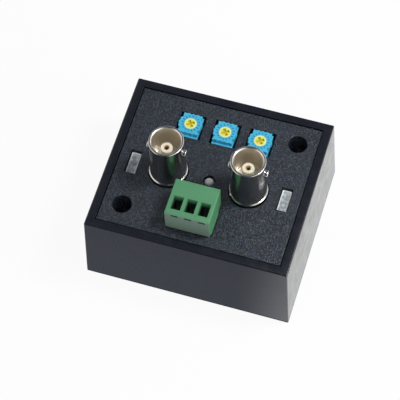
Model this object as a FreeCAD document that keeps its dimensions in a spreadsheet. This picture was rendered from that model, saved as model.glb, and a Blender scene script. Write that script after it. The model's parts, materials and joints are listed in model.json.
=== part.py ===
import FreeCAD, Part
import math
import os
import re
import Sketcher

# Video amplifier: a small black case with two bayonet jacks, three trimmers, lamps and a pluggable
# three-pole terminal on its face. Millimetres, +X to the right of the face, +Y to its back edge, +Z out
# of the face. The origin is the middle of the underside.

SIZES = {
    # case
    "top_length": "57.4",
    "top_width": "48.9",
    "box_height": "26.7",
    "base_flare": "1.0",
    "wall": "2.4",
    "edge_round": "0.35",
    "ledge_width": "1.2",
    "ledge_height": "2.0",
    # face panel
    "panel_thickness": "2.0",
    "panel_gap": "0.25",
    "panel_edge": "0.2",
    # base plate
    "base_thickness": "2.0",
    "base_gap": "0.15",
    "base_step": "1.0",
    # wells and bosses at the four corners
    "corner_inset_x": "8.15",
    "corner_inset_y": "8.75",
    "well_bore": "5.4",
    "well_wall": "1.0",
    "mount_hole": "3.5",
    "boss_size": "5.6",
    "collar_step": "0.4",
    "ring_wall": "0.8",
    "ring_height": "1.0",
    "case_screw_shank": "2.5",
    "case_screw_head": "5.0",
    "case_screw_length": "11.0",
    "case_screw_point": "0.8",
    "screw_cross_length": "2.8",
    "screw_cross_width": "0.6",
    "screw_cross_depth": "0.9",
    "screw_gap": "0.05",
    # board
    "board_depth": "8.8",
    "board_thickness": "1.6",
    "board_gap": "0.35",
    "hole_gap": "0.15",
    "lead_gap": "0.1",
    "tail_length": "1.5",
    "post_step_x": "6.3",
    "post_step_y": "2.5",
    "post_size": "4.0",
    "board_screw_shank": "2.0",
    "board_screw_head": "3.6",
    "board_screw_head_height": "1.3",
    "board_screw_length": "6.0",
    # bayonet jacks
    "jack_setback": "6.0",
    "jack_rise": "16.0",
    "barrel_size": "9.65",
    "barrel_edge": "0.15",
    "mouth_bore": "8.1",
    "mouth_edge": "0.3",
    "mouth_depth": "9.0",
    "neck_size": "10.2",
    "taper_height": "7.6",
    "flange_size": "10.8",
    "flange_rise": "1.1",
    "flange_edge": "0.25",
    "jack_hole": "11.3",
    "jack_block": "13.4",
    "jack_block_height": "5.2",
    "jack_leg": "1.2",
    "jack_leg_pitch": "10.16",
    "lug_size": "2.0",
    "lug_span": "11.2",
    "lug_drop": "4.4",
    "insulator_core": "6.4",
    "stub_size": "3.4",
    "stub_drop": "3.5",
    "stub_edge": "0.2",
    "lip_bore": "1.45",
    "lip_height": "0.5",
    "contact_size": "2.0",
    "contact_bore": "1.35",
    "contact_bore_depth": "5.0",
    "contact_tail": "1.0",
    "fit_gap": "0.03",
    # trimmers
    "trimmer_pitch": "10.1",
    "trimmer_shift": "0.25",
    "trimmer_inset": "11.1",
    "trimmer_rise": "1.1",
    "trimmer_cap_height": "1.3",
    "trimmer_depth": "6.4",
    "trimmer_back": "5.35",
    "trimmer_base": "5.95",
    "trimmer_lobes": "6.9",
    "trimmer_lobe_depth": "3.8",
    "trimmer_front": "5.75",
    "trimmer_front_depth": "1.1",
    "trimmer_height": "4.9",
    "trimmer_step": "0.6",
    "trimmer_opening_x": "7.4",
    "trimmer_opening_y": "7.7",
    "notch_reach": "2.65",
    "notch_start": "2.05",
    "notch_width": "0.4",
    "notch_depth": "0.3",
    "track_size": "5.0",
    "track_thickness": "0.8",
    "track_gap": "0.02",
    "rotor_size": "3.5",
    "rotor_flange": "4.7",
    "rotor_flange_height": "1.0",
    "rotor_gap": "0.06",
    "rotor_rise": "0.05",
    "slot_length": "2.4",
    "slot_width": "0.75",
    "slot_depth": "0.6",
    "slot_turn": "34",
    "terminal_width": "0.6",
    "terminal_thickness": "0.4",
    "terminal_pitch": "2.54",
    # round lamp
    "lamp_shift": "0.2",
    "lamp_size": "3.0",
    "lamp_hole": "3.3",
    "lamp_flange": "3.8",
    "lamp_flange_height": "1.0",
    "lamp_length": "5.3",
    "lamp_sink": "0.3",
    "lead_width": "0.5",
    "lead_pitch": "2.54",
    # rectangular lamps
    "window_inset": "7.0",
    "window_width": "3.2",
    "window_length": "7.2",
    "block_width": "2.7",
    "block_length": "6.7",
    "block_height": "7.0",
    "block_sink": "0.9",
    "block_foot": "0.25",
    # terminal header and plug
    "plug_x": "-0.8",
    "plug_inset": "5.4",
    "plug_depth": "11.0",
    "plug_width": "12.6",
    "plug_rise": "8.0",
    "plug_lift": "0.4",
    "plug_edge": "0.25",
    "pole_pitch": "3.81",
    "header_width": "12.8",
    "header_depth": "7.25",
    "header_setback": "1.0",
    "header_height": "9.2",
    "header_wall": "1.0",
    "header_floor": "1.4",
    "header_gap": "0.2",
    "header_pin": "1.0",
    "header_pin_rise": "5.8",
    "tongue_gap": "0.15",
    "tongue_length": "7.4",
    "key_width": "1.2",
    "key_depth": "0.45",
    "key_gap": "0.1",
    "socket_width": "2.2",
    "socket_depth": "2.4",
    "socket_wall": "0.6",
    "socket_gap": "0.05",
    "socket_floor": "0.5",
    "pin_gap": "0.05",
    "bar_top_gap": "2.1",
    "carrier_thickness": "1.5",
    "carrier_margin": "0.7",
    "cage_width": "3.0",
    "cage_height": "4.0",
    "cage_side": "0.35",
    "cage_floor": "0.7",
    "cage_nut": "1.3",
    "cage_gap": "0.1",
    "wire_room": "3.25",
    "nut_gap": "0.12",
    "cavity_top": "1.7",
    "hood_front": "1.05",
    "hood_back": "0.65",
    "clamp_screw_head": "2.8",
    "clamp_screw_head_height": "1.0",
    "clamp_screw_shank": "2.0",
    "clamp_screw_hole": "2.4",
    "clamp_slot_width": "0.5",
    "clamp_slot_depth": "0.5",
    "head_gap": "0.05",
    "tip_gap": "0.05",
    "entry_width": "2.85",
    "entry_depth": "4.1",
    "entry_front": "1.75",
    "throat_width": "2.3",
    "throat_depth": "3.1",
    "slit_width": "2.0",
    "slit_height": "0.8",
    "slit_drop": "0.4",
    "slit_depth": "1.2",
    "slit_shift": "0.3",
    # parts on the underside of the board
    "chip_step": "4.2",
    "chip_length": "4.9",
    "chip_width": "3.9",
    "chip_height": "1.5",
    "chip_leg_pitch": "1.27",
    "chip_leg_width": "0.4",
    "chip_leg_reach": "1.05",
    "chip_leg_bend": "0.2",
    "chip_leg_thickness": "0.2",
    "regulator_step": "3.4",
    "regulator_length": "4.5",
    "regulator_width": "2.5",
    "regulator_height": "1.5",
    "tab_length": "0.6",
    "tab_width": "1.7",
    "tab_thickness": "0.4",
    "regulator_leg": "0.45",
    "regulator_leg_pitch": "1.5",
    "regulator_leg_reach": "1.0",
    "rectifier_length": "8.2",
    "rectifier_width": "4.6",
    "rectifier_height": "2.6",
    "rectifier_leg": "1.0",
    "rectifier_leg_pitch": "5.1",
    "smoothing_size": "8.0",
    "smoothing_height": "11.0",
    "smoothing_pitch": "3.5",
    "coupling_step_x": "5.0",
    "coupling_step_y": "1.8",
    "coupling_size": "5.0",
    "coupling_height": "7.0",
    "coupling_pitch": "2.0",
    "can_groove": "0.3",
    "groove_drop": "1.2",
    "chip_part_length": "2.0",
    "chip_part_width": "1.25",
    "chip_part_height": "0.6",
    "chip_row_inset": "1.75",
    "chip_row_margin": "4.9",
}

PLACES = {
    # case and panel
    "panel_top": "box_height",
    "panel_under": "box_height - panel_thickness",
    "recess_length": "top_length - 2 * wall",
    "recess_width": "top_width - 2 * wall",
    "panel_length": "recess_length - 2 * panel_gap",
    "panel_width": "recess_width - 2 * panel_gap",
    "ledge_under": "panel_under - ledge_height",
    "base_recess_length": "recess_length + 2 * base_step",
    "base_recess_width": "recess_width + 2 * base_step",
    "well_outside": "well_bore + 2 * well_wall",
    "corner_x": "top_length / 2 - corner_inset_x",
    "corner_y": "top_width / 2 - corner_inset_y",
    # board
    "board_top": "panel_top - board_depth",
    "board_under": "board_top - board_thickness",
    "board_length": "recess_length - 2 * ledge_width - 2 * board_gap",
    "board_width": "recess_width - 2 * ledge_width - 2 * board_gap",
    "lead_end": "board_under - tail_length",
    "post_x": "corner_x - post_step_x",
    "post_y": "post_step_y - corner_y",
    # jacks
    "jack_x": "top_length / 5",
    "jack_y": "plug_back_y + jack_setback",
    "jack_rim": "panel_top + jack_rise",
    "mouth_floor": "jack_rim - mouth_depth",
    "flange_top": "panel_top + flange_rise",
    "taper_top": "flange_top + taper_height",
    "lug_height": "jack_rim - lug_drop",
    "stub_top": "jack_rim - stub_drop",
    "contact_top": "stub_top - lip_height - fit_gap",
    # trimmers
    "trimmer_y": "top_width / 2 - trimmer_inset",
    "trimmer_top": "panel_top + trimmer_rise",
    "trimmer_under": "trimmer_top - trimmer_height",
    "trimmer_shelf": "trimmer_top - trimmer_cap_height",
    "track_top": "trimmer_under + track_thickness",
    "rotor_under": "track_top + track_gap",
    "rotor_shoulder": "rotor_under + rotor_flange_height",
    # lamps
    "lamp_y": "jack_y",
    "lamp_top": "panel_top - lamp_sink",
    "lamp_under": "lamp_top - lamp_length",
    "window_x": "top_length / 2 - window_inset",
    "window_y": "jack_y",
    "block_lamp_top": "panel_top - block_sink",
    "block_lamp_under": "block_lamp_top - block_height",
    # terminal
    "plug_front_y": "plug_inset - top_width / 2",
    "plug_back_y": "plug_front_y + plug_depth",
    "plug_y": "plug_back_y - plug_depth / 2",
    "plug_top": "panel_top + plug_rise",
    "plug_under": "panel_top + plug_lift",
    "header_y": "plug_front_y + header_setback + header_depth / 2",
    "header_under": "plug_under - header_height",
    "header_inside_x": "header_width - 2 * header_wall",
    "header_inside_y": "header_depth - 2 * header_wall",
    "tongue_x": "header_inside_x - 2 * tongue_gap",
    "tongue_y": "header_inside_y - 2 * tongue_gap",
    "tongue_under": "plug_under - tongue_length",
    "socket_under": "tongue_under + socket_floor",
    "bar_back_y": "header_y + socket_depth / 2",
    "bar_front_y": "bar_back_y - socket_wall",
    "bar_top": "plug_top - bar_top_gap",
    "carrier_top": "plug_under + carrier_thickness",
    "cage_floor_y": "bar_front_y - wire_room",
    "cage_front_y": "cage_floor_y - cage_floor",
    "nut_front_y": "bar_back_y + nut_gap",
    "nut_back_y": "nut_front_y + cage_nut",
    "cavity_ceiling": "plug_top - cavity_top",
    "cage_top": "cavity_ceiling - cage_gap",
    "cage_middle": "cage_top - cage_height / 2",
    "cavity_front_y": "plug_front_y + hood_front",
    "cavity_back_y": "plug_back_y - hood_back",
    "cavity_width": "cage_width + 2 * cage_gap",
    "head_back_y": "cavity_back_y - head_gap",
    "head_front_y": "head_back_y - clamp_screw_head_height",
    "shank_tip_y": "bar_back_y + tip_gap",
    "entry_y": "plug_front_y + entry_front + entry_depth / 2",
    "throat_y": "bar_front_y - throat_depth / 2",
    # parts on the underside of the board
    "chip_x": "-jack_x",
    "chip_y": "jack_y + chip_step",
    "regulator_x": "jack_x",
    "regulator_y": "jack_y + regulator_step",
    "rectifier_y": "(jack_y + header_y) / 2",
    "smoothing_y": "(jack_y + trimmer_y) / 2",
    "coupling_x": "post_x - coupling_step_x",
    "coupling_y": "post_y - coupling_step_y",
    "chip_part_row_y": "board_width / 2 - chip_row_inset",
    "chip_part_pitch": "(corner_x - chip_row_margin) / 3",
}

# notches round a trimmer's rotor, counted straight across
NOTCH_PAIRS = 8

NODES = {}

document = FreeCAD.newDocument("VideoAmplifier")
sheet = document.addObject("Spreadsheet::Sheet", "Sizes")
for row, (alias, number) in enumerate(SIZES.items(), start=1):
    sheet.set(f"A{row}", alias)
    sheet.set(f"B{row}", number)
    sheet.setAlias(f"B{row}", alias)
document.recompute()


def formula(text):
    """Spell a size formula out in the sheet's own names."""
    def spell(match):
        word = match.group(0)
        if word in PLACES:
            return "(" + formula(PLACES[word]) + ")"
        if word in SIZES:
            return "Sizes." + word
        return word
    return re.sub(r"[a-z][a-z_0-9]*", spell, text)


def number_of(text):
    """The present value of a size formula."""
    return float(sheet.evalExpression(formula(text)))


def bind(item, **formulas):
    """Tie properties of an object to size formulas; a double underscore stands for a dot."""
    for name, text in formulas.items():
        item.setExpression(name.replace("__", "."), formula(text))


def place(item, x="0", y="0", z="0"):
    """Tie the position of an object to three size formulas."""
    bind(item, Placement__Base__x=x, Placement__Base__y=y, Placement__Base__z=z)
    return item


def keep(node, item):
    """Take an object as the finished sub-part of that name."""
    item.Label = node
    NODES[node] = item
    return item


# Part primitives, centred in X and Y on the point given

def block(x, y, z, length, width, height):
    """A box standing on z, centred on x and y."""
    item = document.addObject("Part::Box", "block")
    bind(item, Length=length, Width=width, Height=height)
    return place(item, f"{x} - ({length}) / 2", f"{y} - ({width}) / 2", z)


def rod(x, y, z, size, height):
    """An upright cylinder of that diameter standing on z."""
    item = document.addObject("Part::Cylinder", "rod")
    bind(item, Radius=f"({size}) / 2", Height=height)
    return place(item, x, y, z)


def rod_back(x, y, z, size, length):
    """A cylinder of that diameter that runs from y towards the back edge."""
    item = document.addObject("Part::Cylinder", "rod_back")
    item.Placement = FreeCAD.Placement(
        FreeCAD.Vector(), FreeCAD.Rotation(FreeCAD.Vector(1, 0, 0), -90))
    bind(item, Radius=f"({size}) / 2", Height=length)
    return place(item, x, y, z)


def cone(x, y, z, low_size, high_size, height):
    """An upright cone frustum from its lower to its upper diameter."""
    item = document.addObject("Part::Cone", "cone")
    bind(item, Radius1=f"({low_size}) / 2", Radius2=f"({high_size}) / 2", Height=height)
    return place(item, x, y, z)


def fuse(*items):
    """One solid made of several that touch."""
    item = document.addObject("Part::MultiFuse", "fuse")
    item.Shapes = list(items)
    item.Refine = True
    return item


def common(*items):
    """What several solids share."""
    item = document.addObject("Part::MultiCommon", "common")
    item.Shapes = list(items)
    return item


def cut(base, *tools):
    """A solid with others taken away from it."""
    item = document.addObject("Part::Cut", "cut")
    item.Base = base
    item.Tool = tools[0] if len(tools) == 1 else group(*tools)
    return item


def group(*items):
    """Several separate solids held as one object."""
    item = document.addObject("Part::Compound", "group")
    item.Links = list(items)
    return item


# Sketched bodies

def new_body(name):
    """An empty body."""
    return document.addObject("PartDesign::Body", name)


def sketch_on(body, role, offset="0"):
    """A sketch on one of the body's own planes, moved along its normal by offset."""
    sketch = body.newObject("Sketcher::SketchObject", "sketch")
    plane = next(item for item in body.Origin.OriginFeatures if item.Role == role)
    sketch.AttachmentSupport = [(plane, "")]
    sketch.MapMode = "FlatFace"
    bind(sketch, AttachmentOffset__Base__z=offset)
    return sketch


def pin_point(sketch, geometry, point, x, y):
    """Hold one point of a sketch at two size formulas."""
    for kind, text in (("DistanceX", x), ("DistanceY", y)):
        held = Sketcher.Constraint(kind, -1, 1, geometry, point, number_of(text))
        index = sketch.addConstraint(held)
        sketch.setExpression(f"Constraints[{index}]", formula(text))


def outline(sketch, corners):
    """A closed outline of straight lines through corners given as size formulas."""
    points = [FreeCAD.Vector(number_of(x), number_of(y), 0) for x, y in corners]
    first = sketch.GeometryCount
    count = len(corners)
    for index in range(count):
        sketch.addGeometry(Part.LineSegment(points[index], points[(index + 1) % count]), False)
    for index in range(count):
        following = first + (index + 1) % count
        sketch.addConstraint(Sketcher.Constraint("Coincident", first + index, 2, following, 1))
    for index, (x, y) in enumerate(corners):
        pin_point(sketch, first + index, 1, x, y)


def rectangle(sketch, x, y, length, width):
    """A rectangle centred on x and y."""
    left, right = f"{x} - ({length}) / 2", f"{x} + ({length}) / 2"
    low, high = f"{y} - ({width}) / 2", f"{y} + ({width}) / 2"
    outline(sketch, [(left, low), (right, low), (right, high), (left, high)])


def circle(sketch, x, y, size):
    """A circle of that diameter."""
    centre = FreeCAD.Vector(number_of(x), number_of(y), 0)
    radius = number_of(size) / 2
    round_line = Part.Circle(centre, FreeCAD.Vector(0, 0, 1), radius)
    index = sketch.addGeometry(round_line, False)
    pin_point(sketch, index, 3, x, y)
    held = sketch.addConstraint(Sketcher.Constraint("Radius", index, radius))
    sketch.setExpression(f"Constraints[{held}]", formula(f"({size}) / 2"))


def pad(body, sketch, length, down=False):
    """Material added from a sketch."""
    feature = body.newObject("PartDesign::Pad", "pad")
    feature.Profile = sketch
    feature.Reversed = down
    bind(feature, Length=length)
    return feature


def pocket(body, sketch, depth, up=False):
    """Material taken away from a sketch, against its normal unless up."""
    feature = body.newObject("PartDesign::Pocket", "pocket")
    feature.Profile = sketch
    feature.Reversed = up
    bind(feature, Length=depth)
    document.recompute()
    if feature.BaseFeature.Shape.Volume <= feature.Shape.Volume:
        raise RuntimeError(f"{body.Label}: a pocket takes nothing away")
    return feature


def revolve(body, corners, kind="Revolution"):
    """A turned form, or a turned hollow, from an outline of radius and height."""
    sketch = sketch_on(body, "XZ_Plane")
    outline(sketch, corners)
    feature = body.newObject("PartDesign::" + kind, kind.lower())
    feature.Profile = sketch
    feature.ReferenceAxis = (sketch, ["V_Axis"])
    feature.Angle = 360
    return feature


def dress(body, kind, size, wanted):
    """Round or bevel the edges of a body that the test picks out."""
    document.recompute()
    base = body.Tip
    names = [f"Edge{index}" for index, edge in enumerate(base.Shape.Edges, start=1) if wanted(edge)]
    feature = body.newObject("PartDesign::" + kind, kind.lower())
    feature.Base = (base, names)
    bind(feature, **{"Radius" if kind == "Fillet" else "Size": size})
    return feature


def named_faces(feature):
    """The faces of a feature with the names that other features know them by."""
    return [(f"Face{index}", face) for index, face in enumerate(feature.Shape.Faces, start=1)]


def trimmer_place(column):
    """The middle of a trimmer along X, for the columns -1, 0 and 1."""
    return f"trimmer_shift + {column} * trimmer_pitch"


def outer_edge(edge):
    """True for the leaning corners of the shell and the edges round its rim."""
    return edge.BoundBox.ZMax > number_of("box_height") / 2


def shell():
    """The housing: leaning walls, a ledge for the panel and a seat for the base plate."""
    body = new_body("shell")
    foot = sketch_on(body, "XY_Plane")
    rectangle(foot, "0", "0", "top_length", "top_width")
    walls = pad(body, foot, "box_height")
    document.recompute()
    sides = [name for name, face in named_faces(walls) if abs(face.normalAt(0, 0).z) < 0.5]
    rim = next(name for name, face in named_faces(walls) if face.normalAt(0, 0).z > 0.5)
    draft = body.newObject("PartDesign::Draft", "draft")
    draft.Base = (walls, sides)
    draft.NeutralPlane = (walls, [rim])
    bind(draft, Angle="atan(base_flare / box_height)")
    dress(body, "Fillet", "edge_round", outer_edge)
    recess = sketch_on(body, "XY_Plane", "panel_top")
    rectangle(recess, "0", "0", "recess_length", "recess_width")
    pocket(body, recess, "panel_thickness")
    window = sketch_on(body, "XY_Plane", "panel_under")
    rectangle(window, "0", "0", "recess_length - 2 * ledge_width", "recess_width - 2 * ledge_width")
    pocket(body, window, "panel_under")
    hollow = sketch_on(body, "XY_Plane")
    rectangle(hollow, "0", "0", "recess_length", "recess_width")
    pocket(body, hollow, "ledge_under", up=True)
    seat = sketch_on(body, "XY_Plane")
    rectangle(seat, "0", "0", "base_recess_length", "base_recess_width")
    pocket(body, seat, "base_thickness", up=True)
    keep("housing_shell", body)


def panel():
    """The face panel, with wells, bosses and posts under it and an opening for each part that shows."""
    body = new_body("panel")
    plate = sketch_on(body, "XY_Plane", "panel_under")
    rectangle(plate, "0", "0", "panel_length", "panel_width")
    pad(body, plate, "panel_thickness")
    dress(body, "Chamfer", "panel_edge", lambda edge: edge.BoundBox.ZMin > number_of("panel_top - 0.01"))
    supports = sketch_on(body, "XY_Plane", "panel_under")
    for side in ("1", "-1"):
        circle(supports, f"{side} * corner_x", f"{side} * corner_y", "well_outside + 2 * collar_step")
        circle(supports, f"{side} * corner_x", f"-{side} * corner_y", "boss_size + 2 * collar_step")
        circle(supports, f"{side} * post_x", "post_y", "post_size")
    pad(body, supports, "panel_under - board_top", down=True)
    tubes = sketch_on(body, "XY_Plane", "base_thickness")
    for side in ("1", "-1"):
        circle(tubes, f"{side} * corner_x", f"{side} * corner_y", "well_outside")
        circle(tubes, f"{side} * corner_x", f"-{side} * corner_y", "boss_size")
    pad(body, tubes, "board_top - base_thickness")
    wells = sketch_on(body, "XY_Plane", "panel_top")
    for side in ("1", "-1"):
        circle(wells, f"{side} * corner_x", f"{side} * corner_y", "well_bore")
    pocket(body, wells, "panel_top")
    pilots = sketch_on(body, "XY_Plane", "base_thickness")
    for side in ("1", "-1"):
        circle(pilots, f"{side} * corner_x", f"-{side} * corner_y", "case_screw_shank + 2 * screw_gap")
    pocket(body, pilots, "case_screw_length", up=True)
    post_pilots = sketch_on(body, "XY_Plane", "board_top")
    for side in ("1", "-1"):
        circle(post_pilots, f"{side} * post_x", "post_y", "board_screw_shank + 2 * screw_gap")
    pocket(body, post_pilots, "board_screw_length - board_thickness + hole_gap", up=True)
    openings = sketch_on(body, "XY_Plane", "panel_top")
    for side in ("1", "-1"):
        circle(openings, f"{side} * jack_x", "jack_y", "jack_hole")
        rectangle(openings, f"{side} * window_x", "window_y", "window_width", "window_length")
    circle(openings, "lamp_shift", "lamp_y", "lamp_hole")
    for column in ("-1", "0", "1"):
        rectangle(openings, trimmer_place(column), "trimmer_y", "trimmer_opening_x", "trimmer_opening_y")
    header_room = ("header_width + 2 * header_gap", "header_depth + 2 * header_gap")
    rectangle(openings, "plug_x", "header_y", *header_room)
    pocket(body, openings, "panel_thickness")
    keep("face_panel", body)


def base():
    """The base plate, its rings, mounting holes and countersinks, and the screws that hold the case."""
    body = new_body("base")
    floor = sketch_on(body, "XY_Plane")
    rectangle(floor, "0", "0", "base_recess_length - 2 * base_gap", "base_recess_width - 2 * base_gap")
    pad(body, floor, "base_thickness")
    rings = sketch_on(body, "XY_Plane", "base_thickness")
    for side in ("1", "-1"):
        for growth in ("2 * hole_gap + 2 * ring_wall", "2 * hole_gap"):
            circle(rings, f"{side} * corner_x", f"{side} * corner_y", f"well_outside + {growth}")
            circle(rings, f"{side} * corner_x", f"-{side} * corner_y", f"boss_size + {growth}")
    pad(body, rings, "ring_height")
    holes = sketch_on(body, "XY_Plane")
    for side in ("1", "-1"):
        circle(holes, f"{side} * corner_x", f"{side} * corner_y", "mount_hole")
        circle(holes, f"{side} * corner_x", f"-{side} * corner_y", "case_screw_shank + 2 * hole_gap")
    pocket(body, holes, "base_thickness", up=True)
    for side in ("1", "-1"):
        countersink(body, f"{side} * corner_x", f"-{side} * corner_y")
    keep("base_plate", body)

    screws = [case_screw(f"{side} * corner_x", f"-{side} * corner_y") for side in ("1", "-1")]
    keep("case_screws", group(*screws))
    keep("board_screws", group(board_screw("post_x"), board_screw("-post_x")))


def countersink(base, x, y):
    """A countersink in the underside of the base plate, by a loft between two circles."""
    wide = sketch_on(base, "XY_Plane")
    circle(wide, x, y, "case_screw_head + 2 * screw_gap")
    narrow = sketch_on(base, "XY_Plane", "(case_screw_head - case_screw_shank) / 2")
    circle(narrow, x, y, "case_screw_shank + 2 * screw_gap")
    sink = base.newObject("PartDesign::SubtractiveLoft", "sink")
    sink.Profile = wide
    sink.Sections = [narrow]
    sink.Ruled = True


def cross_recess(x, y, z):
    """The crossed slots in a screw head that faces down."""
    return fuse(
        block(x, y, z, "screw_cross_length", "screw_cross_width", "screw_cross_depth"),
        block(x, y, z, "screw_cross_width", "screw_cross_length", "screw_cross_depth"))


def case_screw(x, y):
    """A countersunk screw that holds the base plate to a boss, head flush with the underside."""
    head_height = "(case_screw_head - case_screw_shank) / 2"
    head = cone(x, y, "0", "case_screw_head", "case_screw_shank", head_height)
    shank = rod(x, y, head_height, "case_screw_shank", f"case_screw_length - {head_height}")
    tip = "case_screw_shank - 2 * case_screw_point"
    point = cone(x, y, "case_screw_length", "case_screw_shank", tip, "case_screw_point")
    return cut(fuse(head, shank, point), cross_recess(x, y, "0"))


def board_screw(x):
    """A pan-head screw that holds the board to a post of the panel."""
    head_low = "board_under - board_screw_head_height"
    head = rod(x, "post_y", head_low, "board_screw_head", "board_screw_head_height")
    shank = rod(x, "post_y", "board_under", "board_screw_shank", "board_screw_length")
    return cut(fuse(head, shank), cross_recess(x, "post_y", head_low))


def board():
    """The circuit board, held against the collars, with a hole for each lead that passes it."""
    card = new_body("card")
    sheet_line = sketch_on(card, "XY_Plane", "board_under")
    rectangle(sheet_line, "0", "0", "board_length", "board_width")
    pad(card, sheet_line, "board_thickness")
    notches = sketch_on(card, "XY_Plane", "board_under")
    for side in ("1", "-1"):
        circle(notches, f"{side} * corner_x", f"{side} * corner_y", "well_outside + 2 * hole_gap")
        circle(notches, f"{side} * corner_x", f"-{side} * corner_y", "boss_size + 2 * hole_gap")
        circle(notches, f"{side} * post_x", "post_y", "board_screw_shank + 2 * hole_gap")
    pocket(card, notches, "board_thickness", up=True)
    edges = sketch_on(card, "XY_Plane", "board_under")
    for side in ("1", "-1"):
        edge_x = f"{side} * (corner_x + well_outside / 2)"
        rectangle(edges, edge_x, f"{side} * corner_y", "well_outside", "well_outside / 2")
    pocket(card, edges, "board_thickness", up=True)
    drills = sketch_on(card, "XY_Plane", "board_under")
    lead_hole = "lead_width + 2 * lead_gap"
    pin_hole = "header_pin + 2 * lead_gap"
    leads = []
    for side in ("1", "-1"):
        circle(drills, f"{side} * jack_x", "jack_y", "contact_tail + 2 * lead_gap")
        for across in ("0.5", "-0.5"):
            leg_x = f"{side} * jack_x + {across} * jack_leg_pitch"
            circle(drills, leg_x, "jack_y + jack_leg_pitch / 2", "jack_leg + 2 * lead_gap")
            circle(drills, leg_x, "jack_y - jack_leg_pitch / 2", "jack_leg + 2 * lead_gap")
            leads.append((f"{side} * window_x", f"window_y + {across} * lead_pitch"))
        leads.append((f"lamp_shift + {side} * lead_pitch / 2", "lamp_y"))
        leads.append((f"{side} * smoothing_pitch / 2", "smoothing_y"))
        leads.append((f"coupling_x + {side} * coupling_pitch / 2", "coupling_y"))
    for x, y in leads:
        rectangle(drills, x, y, lead_hole, lead_hole)
    for column in ("-1", "0", "1"):
        rectangle(drills, f"plug_x + {column} * pole_pitch", "header_y", pin_hole, pin_hole)
        for x, y in terminal_places(trimmer_place(column)):
            rectangle(drills, x, y, "terminal_width + 2 * lead_gap", "terminal_thickness + 2 * lead_gap")
    pocket(card, drills, "board_thickness", up=True)
    keep("circuit_board", card)


def jack(name, x):
    """A bayonet jack: metal body with lugs and legs, insulator and sprung contact."""
    body = new_body(name)
    revolve(body, [
        ("0", "board_top"), ("neck_size / 2", "board_top"), ("neck_size / 2", "panel_under"),
        ("flange_size / 2", "panel_under"), ("flange_size / 2", "flange_top - flange_edge"),
        ("flange_size / 2 - flange_edge", "flange_top"), ("neck_size / 2", "flange_top"),
        ("barrel_size / 2", "taper_top"), ("barrel_size / 2", "jack_rim - barrel_edge"),
        ("barrel_size / 2 - barrel_edge", "jack_rim"), ("0", "jack_rim"),
    ])
    lugs = sketch_on(body, "YZ_Plane", "-lug_span / 2")
    circle(lugs, "0", "lug_height", "lug_size")
    pad(body, lugs, "lug_span")
    block_line = sketch_on(body, "XY_Plane", "board_top")
    rectangle(block_line, "0", "0", "jack_block", "jack_block")
    pad(body, block_line, "jack_block_height")
    legs = sketch_on(body, "XY_Plane", "board_top")
    for across in ("0.5", "-0.5"):
        for along in ("0.5", "-0.5"):
            circle(legs, f"{across} * jack_leg_pitch", f"{along} * jack_leg_pitch", "jack_leg")
    pad(body, legs, "board_thickness + tail_length", down=True)
    revolve(body, [
        ("0", "board_top"), ("insulator_core / 2", "board_top"), ("insulator_core / 2", "mouth_floor"),
        ("mouth_bore / 2", "mouth_floor"), ("mouth_bore / 2", "jack_rim - mouth_edge"),
        ("mouth_bore / 2 + mouth_edge", "jack_rim"), ("0", "jack_rim"),
    ], "Groove")
    keep(name + "_body", place(body, x, "jack_y"))

    insulator = new_body(name + "_insulator")
    core = "insulator_core / 2 - fit_gap"
    hole = "contact_size / 2 + fit_gap"
    revolve(insulator, [
        (hole, "board_top"), (core, "board_top"), (core, "mouth_floor"), ("stub_size / 2", "mouth_floor"),
        ("stub_size / 2", "stub_top - stub_edge"), ("stub_size / 2 - stub_edge", "stub_top"),
        ("lip_bore / 2", "stub_top"), ("lip_bore / 2", "stub_top - lip_height"),
        (hole, "stub_top - lip_height"),
    ])
    keep(name + "_insulator", place(insulator, x, "jack_y"))

    contact = new_body(name + "_contact")
    revolve(contact, [
        ("0", "lead_end"), ("contact_tail / 2", "lead_end"), ("contact_tail / 2", "board_top"),
        ("contact_size / 2", "board_top"), ("contact_size / 2", "contact_top"),
        ("contact_bore / 2", "contact_top"),
        ("contact_bore / 2", "contact_top - contact_bore_depth"), ("0", "contact_top - contact_bore_depth"),
    ])
    keep(name + "_contact", place(contact, x, "jack_y"))


def terminal_places(x):
    """Where the three terminals of a trimmer meet the board."""
    return [
        (f"{x} - terminal_pitch", "trimmer_y - terminal_pitch / 2"),
        (f"{x} + terminal_pitch", "trimmer_y - terminal_pitch / 2"),
        (x, "trimmer_y + terminal_pitch"),
    ]


def turned_bars(count, z, length, width, height):
    """Bars through the origin, spread evenly about the vertical, as one object."""
    bars = []
    for index in range(count):
        bar = group(block("0", "0", z, length, width, height))
        turn = FreeCAD.Rotation(FreeCAD.Vector(0, 0, 1), index * 180 / count)
        bar.Placement = FreeCAD.Placement(FreeCAD.Vector(), turn)
        bars.append(bar)
    return fuse(*bars)


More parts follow.
